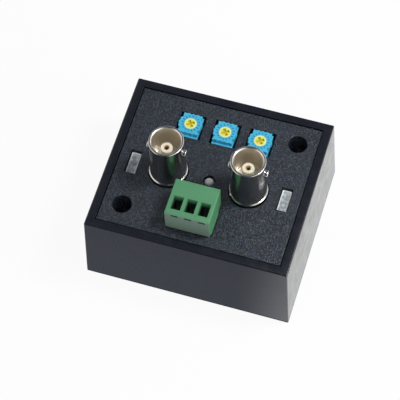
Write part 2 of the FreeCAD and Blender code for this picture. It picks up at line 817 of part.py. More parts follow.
def trimmer(name, x):
    """A small open trimmer: moulded body, slotted rotor, track and three long terminals."""
    y = "trimmer_y"
    cap_height = "trimmer_cap_height"
    lobes = common(
        rod(x, y, "trimmer_shelf", "trimmer_lobes", cap_height),
        block(x, y, "trimmer_shelf", "trimmer_lobes", "trimmer_lobe_depth", cap_height))
    front_y = f"{y} - trimmer_depth / 2 + trimmer_front_depth / 2"
    solid = fuse(
        block(x, f"{y} - trimmer_step / 2", "trimmer_under", "trimmer_base",
              "trimmer_depth + trimmer_step", "trimmer_shelf - trimmer_under"),
        block(x, y, "trimmer_shelf", "trimmer_back", "trimmer_depth", cap_height),
        block(x, front_y, "trimmer_shelf", "trimmer_front", "trimmer_front_depth", cap_height),
        lobes)
    seat_size = "track_size + 2 * fit_gap"
    seat = block(x, y, "trimmer_under", seat_size, seat_size, "track_thickness")
    chamber_height = "rotor_shoulder + rotor_gap - track_top"
    chamber = rod(x, y, "track_top", "rotor_flange + 2 * rotor_gap", chamber_height)
    throat = rod(x, y, "track_top", "rotor_size + 2 * rotor_gap", "trimmer_top - track_top")
    notch_floor = "trimmer_top - notch_depth"
    notches = cut(
        place(turned_bars(NOTCH_PAIRS, notch_floor, "2 * notch_reach", "notch_width", "notch_depth"), x, y),
        rod(x, y, notch_floor, "2 * notch_start", "notch_depth"))
    keep(name + "_body", cut(solid, seat, chamber, throat, notches))

    rotor_top = "trimmer_top + rotor_rise"
    turned = fuse(
        rod(x, y, "rotor_under", "rotor_flange", "rotor_flange_height"),
        rod(x, y, "rotor_under", "rotor_size", f"{rotor_top} - rotor_under"))
    cross = turned_bars(2, f"{rotor_top} - slot_depth", "slot_length", "slot_width", "slot_depth")
    bind(cross, Placement__Rotation__Angle="slot_turn")
    place(cross, x, y)
    keep(name + "_rotor", cut(turned, cross))

    keep(name + "_track", block(x, y, "trimmer_under", "track_size", "track_size", "track_thickness"))
    terminal_length = "trimmer_under - lead_end"
    keep(name + "_terminals", group(*[
        block(spot_x, spot_y, "lead_end", "terminal_width", "terminal_thickness", terminal_length)
        for spot_x, spot_y in terminal_places(x)]))


def lamps():
    """The round clear lamp, the two rectangular ones and their leads."""
    lens = new_body("lens")
    dome = "lamp_size / 2"
    shoulder = f"lamp_top - {dome}"
    sketch = sketch_on(lens, "XZ_Plane")
    half = number_of(dome)
    top, low = number_of("lamp_top"), number_of("lamp_under")
    ring, step = number_of("lamp_flange / 2"), number_of("lamp_under + lamp_flange_height")
    vector = FreeCAD.Vector
    chain = [
        Part.LineSegment(vector(0, low, 0), vector(ring, low, 0)),
        Part.LineSegment(vector(ring, low, 0), vector(ring, step, 0)),
        Part.LineSegment(vector(ring, step, 0), vector(half, step, 0)),
        Part.LineSegment(vector(half, step, 0), vector(half, top - half, 0)),
        Part.ArcOfCircle(Part.Circle(vector(0, top - half, 0), vector(0, 0, 1), half), 0, math.pi / 2),
        Part.LineSegment(vector(0, top, 0), vector(0, low, 0)),
    ]
    for line in chain:
        sketch.addGeometry(line, False)
    for index in range(len(chain)):
        joined = Sketcher.Constraint("Coincident", index, 2, (index + 1) % len(chain), 1)
        sketch.addConstraint(joined)
    flange = "lamp_flange / 2"
    flange_top = "lamp_under + lamp_flange_height"
    corners = [
        ("0", "lamp_under"), (flange, "lamp_under"), (flange, flange_top), (dome, flange_top),
        (dome, shoulder)]
    for index, (x, y) in enumerate(corners):
        pin_point(sketch, index, 1, x, y)
    pin_point(sketch, 4, 3, "0", shoulder)
    sketch.addConstraint(Sketcher.Constraint("PointOnObject", 5, 1, -2))
    turned = lens.newObject("PartDesign::Revolution", "lens_form")
    turned.Profile = sketch
    turned.ReferenceAxis = (sketch, ["V_Axis"])
    turned.Angle = 360
    keep("round_lamp", place(lens, "lamp_shift", "lamp_y"))
    length = "lamp_under - lead_end"
    keep("round_lamp_leads", group(*[
        block(f"lamp_shift + {side} * lead_pitch / 2", "lamp_y", "lead_end", "lead_width", "lead_width",
              length)
        for side in ("1", "-1")]))
    for name, side in (("left_lamp", "-1"), ("right_lamp", "1")):
        x = f"{side} * window_x"
        foot_width, foot_length = "block_width + 2 * block_foot", "block_length + 2 * block_foot"
        keep(name, fuse(
            block(x, "window_y", "block_lamp_under", "block_width", "block_length", "block_height"),
            block(x, "window_y", "block_lamp_under", foot_width, foot_length, "lamp_flange_height")))
        length = "block_lamp_under - lead_end"
        keep(name + "_leads", group(*[
            block(x, f"window_y + {along} * lead_pitch / 2", "lead_end", "lead_width", "lead_width", length)
            for along in ("1", "-1")]))


def header():
    """The board half of the terminal: a keyed shell, open at the top, and three square pins."""
    shell = new_body("header")
    wall_line = sketch_on(shell, "XY_Plane", "header_under")
    rectangle(wall_line, "plug_x", "header_y", "header_width", "header_depth")
    pad(shell, wall_line, "header_height")
    hollow = sketch_on(shell, "XY_Plane", "plug_under")
    rectangle(hollow, "plug_x", "header_y", "header_inside_x", "header_inside_y")
    pocket(shell, hollow, "header_height - header_floor")
    key_y = "header_y + (tongue_y + key_depth + key_gap) / 2"
    key_room = ("key_width + 2 * key_gap", "key_depth + key_gap")
    keyways = sketch_on(shell, "XY_Plane", "plug_under")
    for column in ("-1", "0", "1"):
        rectangle(keyways, f"plug_x + {column} * pole_pitch", key_y, *key_room)
    pocket(shell, keyways, "header_height - header_floor")
    pin_holes = sketch_on(shell, "XY_Plane", "header_under")
    pin_hole = "header_pin + 2 * fit_gap"
    for column in ("-1", "0", "1"):
        rectangle(pin_holes, f"plug_x + {column} * pole_pitch", "header_y", pin_hole, pin_hole)
    pocket(shell, pin_holes, "header_floor", up=True)
    keep("terminal_header", shell)
    length = "header_under + header_floor + header_pin_rise - lead_end"
    keep("header_pins", group(*[
        block(f"plug_x + {column} * pole_pitch", "header_y", "lead_end", "header_pin", "header_pin", length)
        for column in ("-1", "0", "1")]))


def plug():
    """The pluggable half: hood, contact carrier and, for each pole, contact, clamp cage and screw."""
    hood = new_body("hood")
    hood_line = sketch_on(hood, "XY_Plane", "plug_under")
    rectangle(hood_line, "plug_x", "plug_y", "plug_width", "plug_depth")
    pad(hood, hood_line, "plug_top - plug_under")
    dress(hood, "Fillet", "plug_edge", lambda edge: edge.BoundBox.ZMax > number_of("plug_under + 0.01"))
    poles = [f"plug_x + {column} * pole_pitch" for column in ("-1", "0", "1")]
    room_y, room_depth = "(cavity_front_y + cavity_back_y) / 2", "cavity_back_y - cavity_front_y"
    seat = sketch_on(hood, "XY_Plane", "plug_under")
    rectangle(seat, "plug_x", room_y, "plug_width - 2 * carrier_margin", room_depth)
    pocket(hood, seat, "carrier_thickness", up=True)
    rooms = sketch_on(hood, "XY_Plane", "carrier_top")
    for x in poles:
        rectangle(rooms, x, room_y, "cavity_width", room_depth)
    pocket(hood, rooms, "cavity_ceiling - carrier_top", up=True)
    access = sketch_on(hood, "XZ_Plane", "-plug_back_y")
    for x in poles:
        circle(access, x, "cage_middle", "clamp_screw_hole")
    pocket(hood, access, "hood_back", up=True)
    slits = sketch_on(hood, "XZ_Plane", "-plug_front_y")
    slit_z = "plug_top - slit_drop - slit_height / 2"
    for x in poles:
        rectangle(slits, f"{x} + slit_shift", slit_z, "slit_width", "slit_height")
    pocket(hood, slits, "slit_depth")
    for x in poles:
        mouth = sketch_on(hood, "XY_Plane", "plug_top")
        rectangle(mouth, x, "entry_y", "entry_width", "entry_depth")
        throat = sketch_on(hood, "XY_Plane", "cavity_ceiling")
        rectangle(throat, x, "throat_y", "throat_width", "throat_depth")
        funnel = hood.newObject("PartDesign::SubtractiveLoft", "funnel")
        funnel.Profile = mouth
        funnel.Sections = [throat]
        funnel.Ruled = True
    keep("plug_hood", hood)

    carrier = new_body("carrier")
    plate = sketch_on(carrier, "XY_Plane", "plug_under")
    plate_width = "plug_width - 2 * carrier_margin - 2 * fit_gap"
    rectangle(plate, "plug_x", room_y, plate_width, f"{room_depth} - 2 * fit_gap")
    pad(carrier, plate, "carrier_thickness - fit_gap")
    tongue = sketch_on(carrier, "XY_Plane", "plug_under")
    rectangle(tongue, "plug_x", "header_y", "tongue_x", "tongue_y")
    pad(carrier, tongue, "tongue_length", down=True)
    keys = sketch_on(carrier, "XY_Plane", "plug_under")
    for x in poles:
        rectangle(keys, x, "header_y + tongue_y / 2", "key_width", "2 * key_depth")
    pad(carrier, keys, "tongue_length", down=True)
    bores = sketch_on(carrier, "XY_Plane", "carrier_top")
    for x in poles:
        rectangle(bores, x, "header_y", "socket_width + 2 * socket_gap", "socket_depth + 2 * socket_gap")
    pocket(carrier, bores, "carrier_top - socket_under")
    ports = sketch_on(carrier, "XY_Plane", "tongue_under")
    port_size = "header_pin + 4 * pin_gap"
    for x in poles:
        rectangle(ports, x, "header_y", port_size, port_size)
    pocket(carrier, ports, "socket_floor", up=True)
    keep("plug_contact_carrier", carrier)

    keep("plug_contacts", group(*[plug_contact(x) for x in poles]))
    for name, x in zip(("left", "middle", "right"), poles):
        clamp(name, x)


def plug_contact(x):
    """A folded contact: a box that grips the pin, and a bar up from its back wall for the clamp."""
    low, box_height = "socket_under", "plug_under - socket_under"
    bar_y, grip_size = "bar_back_y - socket_wall / 2", "header_pin + 2 * pin_gap"
    box = block(x, "header_y", low, "socket_width", "socket_depth", box_height)
    bar = block(x, bar_y, low, "socket_width", "socket_wall", "bar_top - socket_under")
    grip = block(x, "header_y", low, grip_size, grip_size, box_height)
    return cut(fuse(box, bar), grip)


def clamp(name, x):
    """A rising clamp: the cage round the contact bar, and the screw that draws it to the back."""
    cage = new_body(name + "_cage")
    frame_line = sketch_on(cage, "XY_Plane", "cage_top - cage_height")
    rectangle(frame_line, x, "(cage_front_y + nut_back_y) / 2", "cage_width", "nut_back_y - cage_front_y")
    pad(cage, frame_line, "cage_height")
    wire_way = sketch_on(cage, "XY_Plane", "cage_top")
    rectangle(wire_way, x, "(cage_floor_y + nut_front_y) / 2", "cage_width - 2 * cage_side",
              "nut_front_y - cage_floor_y")
    pocket(cage, wire_way, "cage_height")
    nut = sketch_on(cage, "XZ_Plane", "-nut_front_y")
    circle(nut, x, "cage_middle", "clamp_screw_shank + 2 * screw_gap")
    pocket(cage, nut, "cage_nut")
    keep(f"{name}_clamp_cage", cage)

    head = rod_back(x, "head_front_y", "cage_middle", "clamp_screw_head", "clamp_screw_head_height")
    shank = rod_back(x, "shank_tip_y", "cage_middle", "clamp_screw_shank", "head_front_y - shank_tip_y")
    slot = block(x, "head_back_y - clamp_slot_depth / 2", "cage_middle - clamp_slot_width / 2",
                 "clamp_screw_head", "clamp_slot_depth", "clamp_slot_width")
    keep(f"{name}_clamp_screw", cut(fuse(head, shank), slot))


def chip_leg(x, side):
    """One bent leg of the chip: out of its side, down at a riser, and flat on the board."""
    def at(reach):
        return f"chip_y + {side} * (chip_width / 2 + {reach})"
    depth = "(chip_height / 2 + chip_leg_thickness / 2)"
    arm = "chip_leg_reach / 2 + chip_leg_bend / 2"
    low = f"board_under - {depth}"
    stem_y = at("(chip_leg_reach + chip_leg_bend) / 4")
    stem = block(x, stem_y, low, "chip_leg_width", arm, "chip_leg_thickness")
    riser = block(x, at("chip_leg_reach / 2"), low, "chip_leg_width", "chip_leg_bend", depth)
    foot_y = at("(chip_leg_reach * 3 - chip_leg_bend) / 4")
    foot = block(x, foot_y, "board_under - chip_leg_thickness", "chip_leg_width", arm, "chip_leg_thickness")
    return fuse(stem, riser, foot)


def can(x, y, size, height, pitch):
    """An electrolytic capacitor under the board: a can with a rolled groove and two leads."""
    seat = "board_under - chip_leg_thickness"
    tall = rod(x, y, f"{seat} - {height}", size, height)
    band = f"{seat} - groove_drop"
    ring = cut(
        rod(x, y, band, f"{size} + 2 * can_groove", "can_groove"),
        rod(x, y, band, f"{size} - 2 * can_groove", "can_groove"))
    length = "board_thickness + tail_length / 2 + chip_leg_thickness"
    leads = [
        block(f"{x} + {side} * {pitch} / 2", y, seat, "lead_width", "lead_width", length)
        for side in ("1", "-1")]
    return fuse(cut(tall, ring), *leads)


def electronics():
    """What hangs under the board to make the supply and amplify the picture signal."""
    low = "board_under - chip_height - chip_leg_thickness / 2"
    keep("amplifier_chip", block("chip_x", "chip_y", low, "chip_length", "chip_width", "chip_height"))
    keep("amplifier_chip_legs", group(*[
        chip_leg(f"chip_x + {step} * chip_leg_pitch", side)
        for side in ("1", "-1") for step in ("-1.5", "-0.5", "0.5", "1.5")]))

    foot_z = "board_under - tab_thickness"
    leg_y = "regulator_y - regulator_width / 2 - regulator_leg_reach / 2"
    tab_y = "regulator_y + regulator_width / 2 + tab_length / 2"
    legs = [
        block(f"regulator_x + {column} * regulator_leg_pitch", leg_y, foot_z, "regulator_leg",
              "regulator_leg_reach", "tab_thickness")
        for column in ("-1", "0", "1")]
    keep("voltage_regulator", fuse(
        block("regulator_x", "regulator_y", "board_under - regulator_height", "regulator_length",
              "regulator_width", "regulator_height"),
        block("regulator_x", tab_y, foot_z, "tab_width", "tab_length", "tab_thickness"), *legs))

    ends = [
        block(f"{side} * rectifier_leg_pitch / 2", f"rectifier_y + {along} * rectifier_width / 2", foot_z,
              "rectifier_leg", "2 * rectifier_leg", "tab_thickness")
        for side in ("1", "-1") for along in ("1", "-1")]
    keep("bridge_rectifier", fuse(
        block("0", "rectifier_y", "board_under - rectifier_height", "rectifier_length", "rectifier_width",
              "rectifier_height"), *ends))

    smoothing = can("0", "smoothing_y", "smoothing_size", "smoothing_height", "smoothing_pitch")
    coupling = can("coupling_x", "coupling_y", "coupling_size", "coupling_height", "coupling_pitch")
    keep("smoothing_capacitor", smoothing)
    keep("coupling_capacitor", coupling)
    for node, row_y in (("chip_resistors", "chip_part_row_y"), ("chip_capacitors", "-chip_part_row_y")):
        keep(node, group(*[
            block(f"{step} * chip_part_pitch", row_y, "board_under - chip_part_height", "chip_part_length",
                  "chip_part_width", "chip_part_height")
            for step in range(-3, 4)]))


shell()
panel()
base()
board()
jack("input_jack", "-jack_x")
jack("output_jack", "jack_x")
header()
plug()
for trimmer_name, trimmer_column in (("left_trimmer", "-1"), ("middle_trimmer", "0"), ("right_trimmer", "1")):
    trimmer(trimmer_name, trimmer_place(trimmer_column))
lamps()
electronics()
document.recompute()

failed = [item.Label for item in document.Objects if "Invalid" in item.State or "Error" in item.State]
if failed:
    raise RuntimeError("failed objects: " + ", ".join(failed))
for node, item in NODES.items():
    if item.Shape.isNull() or not item.Shape.isValid():
        raise RuntimeError(node + " has no valid shape")

os.makedirs("parts", exist_ok=True)
for node, item in NODES.items():
    item.Shape.exportStep(f"parts/{node}.step")
    print(node, len(item.Shape.Solids), round(item.Shape.Volume, 2))
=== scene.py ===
"""Looks of a small video amplifier: moulded case, bayonet jacks, trimmers, lamps and a pluggable terminal."""

import json
import logging
import math
from dataclasses import dataclass, field
from enum import Enum

import bmesh
import bpy
from mathutils import Matrix, Vector

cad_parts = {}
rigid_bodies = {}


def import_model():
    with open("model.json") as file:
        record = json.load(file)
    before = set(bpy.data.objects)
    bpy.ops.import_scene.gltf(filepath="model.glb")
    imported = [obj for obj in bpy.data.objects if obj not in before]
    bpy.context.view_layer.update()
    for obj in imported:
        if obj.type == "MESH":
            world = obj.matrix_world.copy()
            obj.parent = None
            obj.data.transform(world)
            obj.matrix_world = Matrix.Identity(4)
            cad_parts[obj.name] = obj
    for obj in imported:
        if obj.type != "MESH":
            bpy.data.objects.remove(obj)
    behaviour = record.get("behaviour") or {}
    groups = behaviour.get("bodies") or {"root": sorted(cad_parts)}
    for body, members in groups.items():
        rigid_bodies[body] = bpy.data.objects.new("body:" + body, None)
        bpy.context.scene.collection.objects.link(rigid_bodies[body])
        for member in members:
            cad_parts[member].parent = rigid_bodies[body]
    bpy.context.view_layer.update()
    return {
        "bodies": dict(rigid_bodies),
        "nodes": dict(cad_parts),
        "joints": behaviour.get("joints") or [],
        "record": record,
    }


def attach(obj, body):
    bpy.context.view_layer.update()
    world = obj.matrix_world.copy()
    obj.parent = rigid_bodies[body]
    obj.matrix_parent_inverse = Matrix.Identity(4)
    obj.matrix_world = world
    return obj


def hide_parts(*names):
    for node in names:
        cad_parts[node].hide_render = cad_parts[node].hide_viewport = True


LOG = logging.getLogger("video_amplifier")
MM = 0.001

# places that several pieces share, in millimetres
ROTOR_PITCH = 10.1
ROTOR_SHIFT = 0.25
ROTOR_Y = 13.35
JACK_X = 11.48
JACK_Y = -2.05
LAMP_X = 21.7
LAMP_Y = -2.05
FACE_Z = 26.7

# how meshes are worked: gaps in millimetres, turns of an edge in degrees
MERGE_GAP = 0.001
CUT_GAP = 0.0005
LEVEL_GAP = 0.02
FLAT_DEG = 1.0
SMOOTH_DEG = 32.0
BEVEL_DEG = 40.0

# most values of a noise texture lie between these
NOISE_LOW = 0.3
NOISE_HIGH = 0.7
WHITE = "FFFFFF"


class Side(Enum):
    """The two sides of the face, as signs along X."""

    LEFT = -1
    RIGHT = 1


class Place(Enum):
    """Left, middle and right of a row of three, as steps along X."""

    LEFT = -1
    MIDDLE = 0
    RIGHT = 1


class Signal(Enum):
    """Which way the picture runs through a jack, as its sign along X."""

    INPUT = -1
    OUTPUT = 1


def linear(code: str) -> tuple[float, float, float, float]:
    """Turn an sRGB hex colour to linear values.

    Args:
        code: six hex digits, red first.

    Returns:
        Linear red, green and blue, and a full alpha.
    """
    channels = []
    for start in (0, 2, 4):
        value = int(code[start:start + 2], 16) / 255
        channels.append(value / 12.92 if value <= 0.04045 else ((value + 0.055) / 1.055) ** 2.4)
    return channels[0], channels[1], channels[2], 1.0


def add_node(tree: bpy.types.NodeTree, kind: str, links: dict | None = None, **settings) -> bpy.types.Node:
    """Add a shader node with its settings and links.

    Args:
        tree: the node tree that gets the node.
        kind: the node's type name without its ShaderNode prefix.
        links: input name or number to the output socket that feeds it.
        settings: properties of the node, or with a leading underscore, default values of its inputs.

    Returns:
        The new node.
    """
    node = tree.nodes.new("ShaderNode" + kind)
    for name, value in settings.items():
        if name.startswith("_"):
            key = name[1:]
            socket = node.inputs[int(key)] if key.isdigit() else node.inputs[key.replace("_", " ")]
            socket.default_value = value
        else:
            setattr(node, name, value)
    for name, output in (links or {}).items():
        tree.links.new(output, node.inputs[name])
    return node


def new_material(name: str) -> tuple[bpy.types.Material, bpy.types.NodeTree, bpy.types.Node]:
    """Start a node material.

    Args:
        name: the material's name.

    Returns:
        The material, its cleared node tree and its output node.
    """
    material = bpy.data.materials.new(name)
    material.use_nodes = True
    tree = material.node_tree
    tree.nodes.clear()
    return material, tree, tree.nodes.new("ShaderNodeOutputMaterial")


@dataclass(frozen=True)
class MouldedPlastic:
    """A moulded thermoplastic: faint mottling of colour and gloss, and a fine skin from the tool."""

    name: str
    colour: str
    shade: str
    roughness: float = 0.45
    gloss_swing: float = 0.04
    ior: float = 1.54
    mottle_mm: float = 3.0
    grain_mm: float = 0.16
    grain_height_mm: float = 0.004
    subsurface: float = 0.0
    subsurface_mm: float = 1.0

    def build(self) -> bpy.types.Material:
        """Make the material.

        Returns:
            The finished material.
        """
        material, tree, output = new_material(self.name)
        spot = add_node(tree, "TexCoord").outputs["Object"]
        mottle = add_node(tree, "TexNoise", {"Vector": spot}, _Scale=1 / (self.mottle_mm * MM), _Detail=4.0)
        grain = add_node(tree, "TexNoise", {"Vector": spot}, _Scale=1 / (self.grain_mm * MM), _Detail=2.0)
        tint = add_node(tree, "Mix", {0: mottle.outputs["Fac"]}, data_type="RGBA",
                        _6=linear(self.colour), _7=linear(self.shade))
        gloss = add_node(tree, "MapRange", {"Value": mottle.outputs["Fac"]},
                         _From_Min=NOISE_LOW, _From_Max=NOISE_HIGH,
                         _To_Min=self.roughness - self.gloss_swing, _To_Max=self.roughness + self.gloss_swing)
        bump = add_node(tree, "Bump", {"Height": grain.outputs["Fac"]},
                        _Strength=1.0, _Distance=self.grain_height_mm * MM)
        shader = add_node(tree, "BsdfPrincipled", {
            "Base Color": tint.outputs[2], "Roughness": gloss.outputs["Result"],
            "Normal": bump.outputs["Normal"]}, _IOR=self.ior)
        if self.subsurface:
            shader.inputs["Subsurface Weight"].default_value = self.subsurface
            shader.inputs["Subsurface Scale"].default_value = self.subsurface_mm * MM
        tree.links.new(shader.outputs["BSDF"], output.inputs["Surface"])
        return material


@dataclass(frozen=True)
class ErodedPlastic:
    """Moulded ABS from a spark-eroded tool: a pebbled skin whose specks are shinier, and painted a lighter
    cold blue as painted glints.
    """

    name: str
    colour: str
    painted_glint: str
    pebble_mm: float = 0.5
    glint_mm: float = 0.22
    glint_from: float = 0.6
    glint_full: float = 0.68
    glint_rise: float = 0.25
    height_mm: float = 0.26
    dull: float = 0.55
    bright: float = 0.22
    ior: float = 1.47

    def build(self) -> bpy.types.Material:
        """Make the material.

        Returns:
            The finished material.
        """
        material, tree, output = new_material(self.name)
        spot = add_node(tree, "TexCoord").outputs["Object"]
        pebble = add_node(tree, "TexNoise", {"Vector": spot}, _Scale=1 / (self.pebble_mm * MM),
                          _Detail=3.0, _Roughness=0.6)
        # the real pits are near 0.1 mm, too fine for the render, so each glint is drawn a little coarser
        glint = add_node(tree, "TexVoronoi", {"Vector": spot}, _Scale=1 / (self.glint_mm * MM))
        spark = add_node(tree, "MapRange", {"Value": glint.outputs["Color"]},
                         _From_Min=self.glint_from, _From_Max=self.glint_full)
        # the specks are painted a lighter cold blue: painted glints, on top of their real lower roughness and
        # bump
        tint = add_node(tree, "Mix", {0: spark.outputs["Result"]}, data_type="RGBA",
                        _6=linear(self.colour), _7=linear(self.painted_glint))
        gloss = add_node(tree, "MapRange", {"Value": spark.outputs["Result"]},
                         _To_Min=self.dull, _To_Max=self.bright)
        height = add_node(tree, "Math", {0: glint.outputs["Color"], 2: pebble.outputs["Fac"]},
                          operation="MULTIPLY_ADD", _1=self.glint_rise)
        bump = add_node(tree, "Bump", {"Height": height.outputs["Value"]},
                        _Strength=1.0, _Distance=self.height_mm * MM)
        shader = add_node(tree, "BsdfPrincipled", {
            "Base Color": tint.outputs[2], "Roughness": gloss.outputs["Result"],
            "Normal": bump.outputs["Normal"]}, _IOR=self.ior)
        tree.links.new(shader.outputs["BSDF"], output.inputs["Surface"])
        return material


@dataclass(frozen=True)
class HoodPlastic:
    """Glass-filled PBT of the plug's hood: green, painted paler on its front as a painted reflection, and
    painted dark down the wire funnels as painted shade.
    """

    name: str
    colour: str
    shade: str
    front_sheen: str
    recess_shade: str
    middle_mm: float = -0.8
    front_mm: float = -19.05
    back_mm: float = -8.05
    side_mm: float = 6.3
    top_mm: float = 34.7
    sheen_from_mm: float = 0.12
    sheen_full_mm: float = 0.02
    skin_mm: float = 0.15
    inside_mm: float = 0.3
    dim_mm: float = 1.6
    fibre_mm: float = 0.35
    fibre_height_mm: float = 0.012
    roughness: float = 0.5
    ior: float = 1.6

    def build(self) -> bpy.types.Material:
        """Make the material.

        Returns:
            The finished material.
        """
        material, tree, output = new_material(self.name)
        spot = add_node(tree, "TexCoord").outputs["Object"]
        way = add_node(tree, "SeparateXYZ", {0: spot})
        fibre = add_node(tree, "TexNoise", {"Vector": spot}, _Scale=1 / (self.fibre_mm * MM), _Detail=3.0)
        green = add_node(tree, "Mix", {0: fibre.outputs["Fac"]}, data_type="RGBA",
                         _6=linear(self.colour), _7=linear(self.shade))
        # the hood's front is painted pale grey-green: a painted reflection of the bright floor in front of it
        front = add_node(tree, "MapRange", {"Value": way.outputs["Y"]}, interpolation_type="SMOOTHSTEP",
                         _From_Min=(self.front_mm + self.sheen_from_mm) * MM,
                         _From_Max=(self.front_mm + self.sheen_full_mm) * MM)
        face = add_node(tree, "Mix", {0: front.outputs["Result"], 6: green.outputs[2]}, data_type="RGBA",
                        _7=linear(self.front_sheen))
        # a spot is down a funnel where it is behind the hood's skin on every side and under its top; there
        # the green is painted dark, as painted shade
        off = add_node(tree, "Math", {0: way.outputs["X"]}, operation="SUBTRACT", _1=self.middle_mm * MM)
        across = add_node(tree, "Math", {0: off.outputs[0]}, operation="ABSOLUTE")
        depth = add_node(tree, "MapRange", {"Value": way.outputs["Z"]}, interpolation_type="SMOOTHSTEP",
                         _From_Min=(self.top_mm - self.skin_mm) * MM,
                         _From_Max=(self.top_mm - self.dim_mm) * MM)
        inner = depth.outputs["Result"]
        for value, wall_mm, inward in ((across.outputs[0], self.side_mm, -1),
                                       (way.outputs["Y"], self.front_mm, 1),
                                       (way.outputs["Y"], self.back_mm, -1)):
            behind = add_node(tree, "MapRange", {"Value": value},
                              _From_Min=(wall_mm + inward * self.skin_mm) * MM,
                              _From_Max=(wall_mm + inward * self.inside_mm) * MM)
            both = add_node(tree, "Math", {0: inner, 1: behind.outputs["Result"]}, operation="MULTIPLY")
            inner = both.outputs[0]
        # painted shade: down the funnels the green darkens to the recess shade colour
        tint = add_node(tree, "Mix", {0: inner, 6: face.outputs[2]}, data_type="RGBA", _7=linear(self.recess_shade))
        bump = add_node(tree, "Bump", {"Height": fibre.outputs["Fac"]},
                        _Strength=1.0, _Distance=self.fibre_height_mm * MM)
        shader = add_node(tree, "BsdfPrincipled", {
            "Base Color": tint.outputs[2], "Normal": bump.outputs["Normal"]},
            _Roughness=self.roughness, _IOR=self.ior)
        tree.links.new(shader.outputs["BSDF"], output.inputs["Surface"])
        return material


@dataclass(frozen=True)
class RotorNylon:
    """Moulded nylon of a rotor: a pale outer ring, and a darker amber painted where the cross is sunk, as
    painted shade.
    """

    name: str
    colour: str
    ring: str
    recess_shade: str
    ring_mm: float = 1.5
    ring_soft_mm: float = 0.35
    floor_mm: float = 27.3
    top_mm: float = 27.75
    grain_mm: float = 0.3
    roughness: float = 0.38
    gloss_swing: float = 0.08
    subsurface: float = 0.25
    subsurface_mm: float = 0.5
    ior: float = 1.53

    def build(self) -> bpy.types.Material:
        """Make the material.

        Returns:
            The finished material.
        """
        material, tree, output = new_material(self.name)
        spot = add_node(tree, "TexCoord").outputs["Object"]
        way = add_node(tree, "SeparateXYZ", {0: spot})
        # the three rotors stand in a row, so a way along X that wraps round serves them all
        shifted = add_node(tree, "Math", {0: way.outputs["X"]}, operation="SUBTRACT", _1=ROTOR_SHIFT * MM)
        across = add_node(tree, "Math", {0: shifted.outputs[0]}, operation="WRAP",
                          _1=ROTOR_PITCH / 2 * MM, _2=-ROTOR_PITCH / 2 * MM)
        along = add_node(tree, "Math", {0: way.outputs["Y"]}, operation="SUBTRACT", _1=ROTOR_Y * MM)
        arm = add_node(tree, "CombineXYZ", {0: across.outputs[0], 1: along.outputs[0]})
        reach = add_node(tree, "VectorMath", {0: arm.outputs[0]}, operation="LENGTH")
        rim = add_node(tree, "MapRange", {"Value": reach.outputs["Value"]}, interpolation_type="SMOOTHSTEP",
                       _From_Min=(self.ring_mm - self.ring_soft_mm) * MM, _From_Max=self.ring_mm * MM)
        body = add_node(tree, "Mix", {0: rim.outputs["Result"]}, data_type="RGBA",
                        _6=linear(self.colour), _7=linear(self.ring))
        # painted shade: the sunk cross darkens to amber towards its floor
        painted_cross_shade = add_node(tree, "MapRange", {"Value": way.outputs["Z"]},
                        _From_Min=self.top_mm * MM, _From_Max=self.floor_mm * MM)
        tint = add_node(tree, "Mix", {0: painted_cross_shade.outputs["Result"], 6: body.outputs[2]}, data_type="RGBA",
                        _7=linear(self.recess_shade))
        grain = add_node(tree, "TexNoise", {"Vector": spot}, _Scale=1 / (self.grain_mm * MM), _Detail=3.0)
        gloss = add_node(tree, "MapRange", {"Value": grain.outputs["Fac"]},
                         _To_Min=self.roughness - self.gloss_swing, _To_Max=self.roughness + self.gloss_swing)
        shader = add_node(tree, "BsdfPrincipled", {
            "Base Color": tint.outputs[2], "Roughness": gloss.outputs["Result"]}, _IOR=self.ior)
        shader.inputs["Subsurface Weight"].default_value = self.subsurface
        shader.inputs["Subsurface Scale"].default_value = self.subsurface_mm * MM
        tree.links.new(shader.outputs["BSDF"], output.inputs["Surface"])
        return material


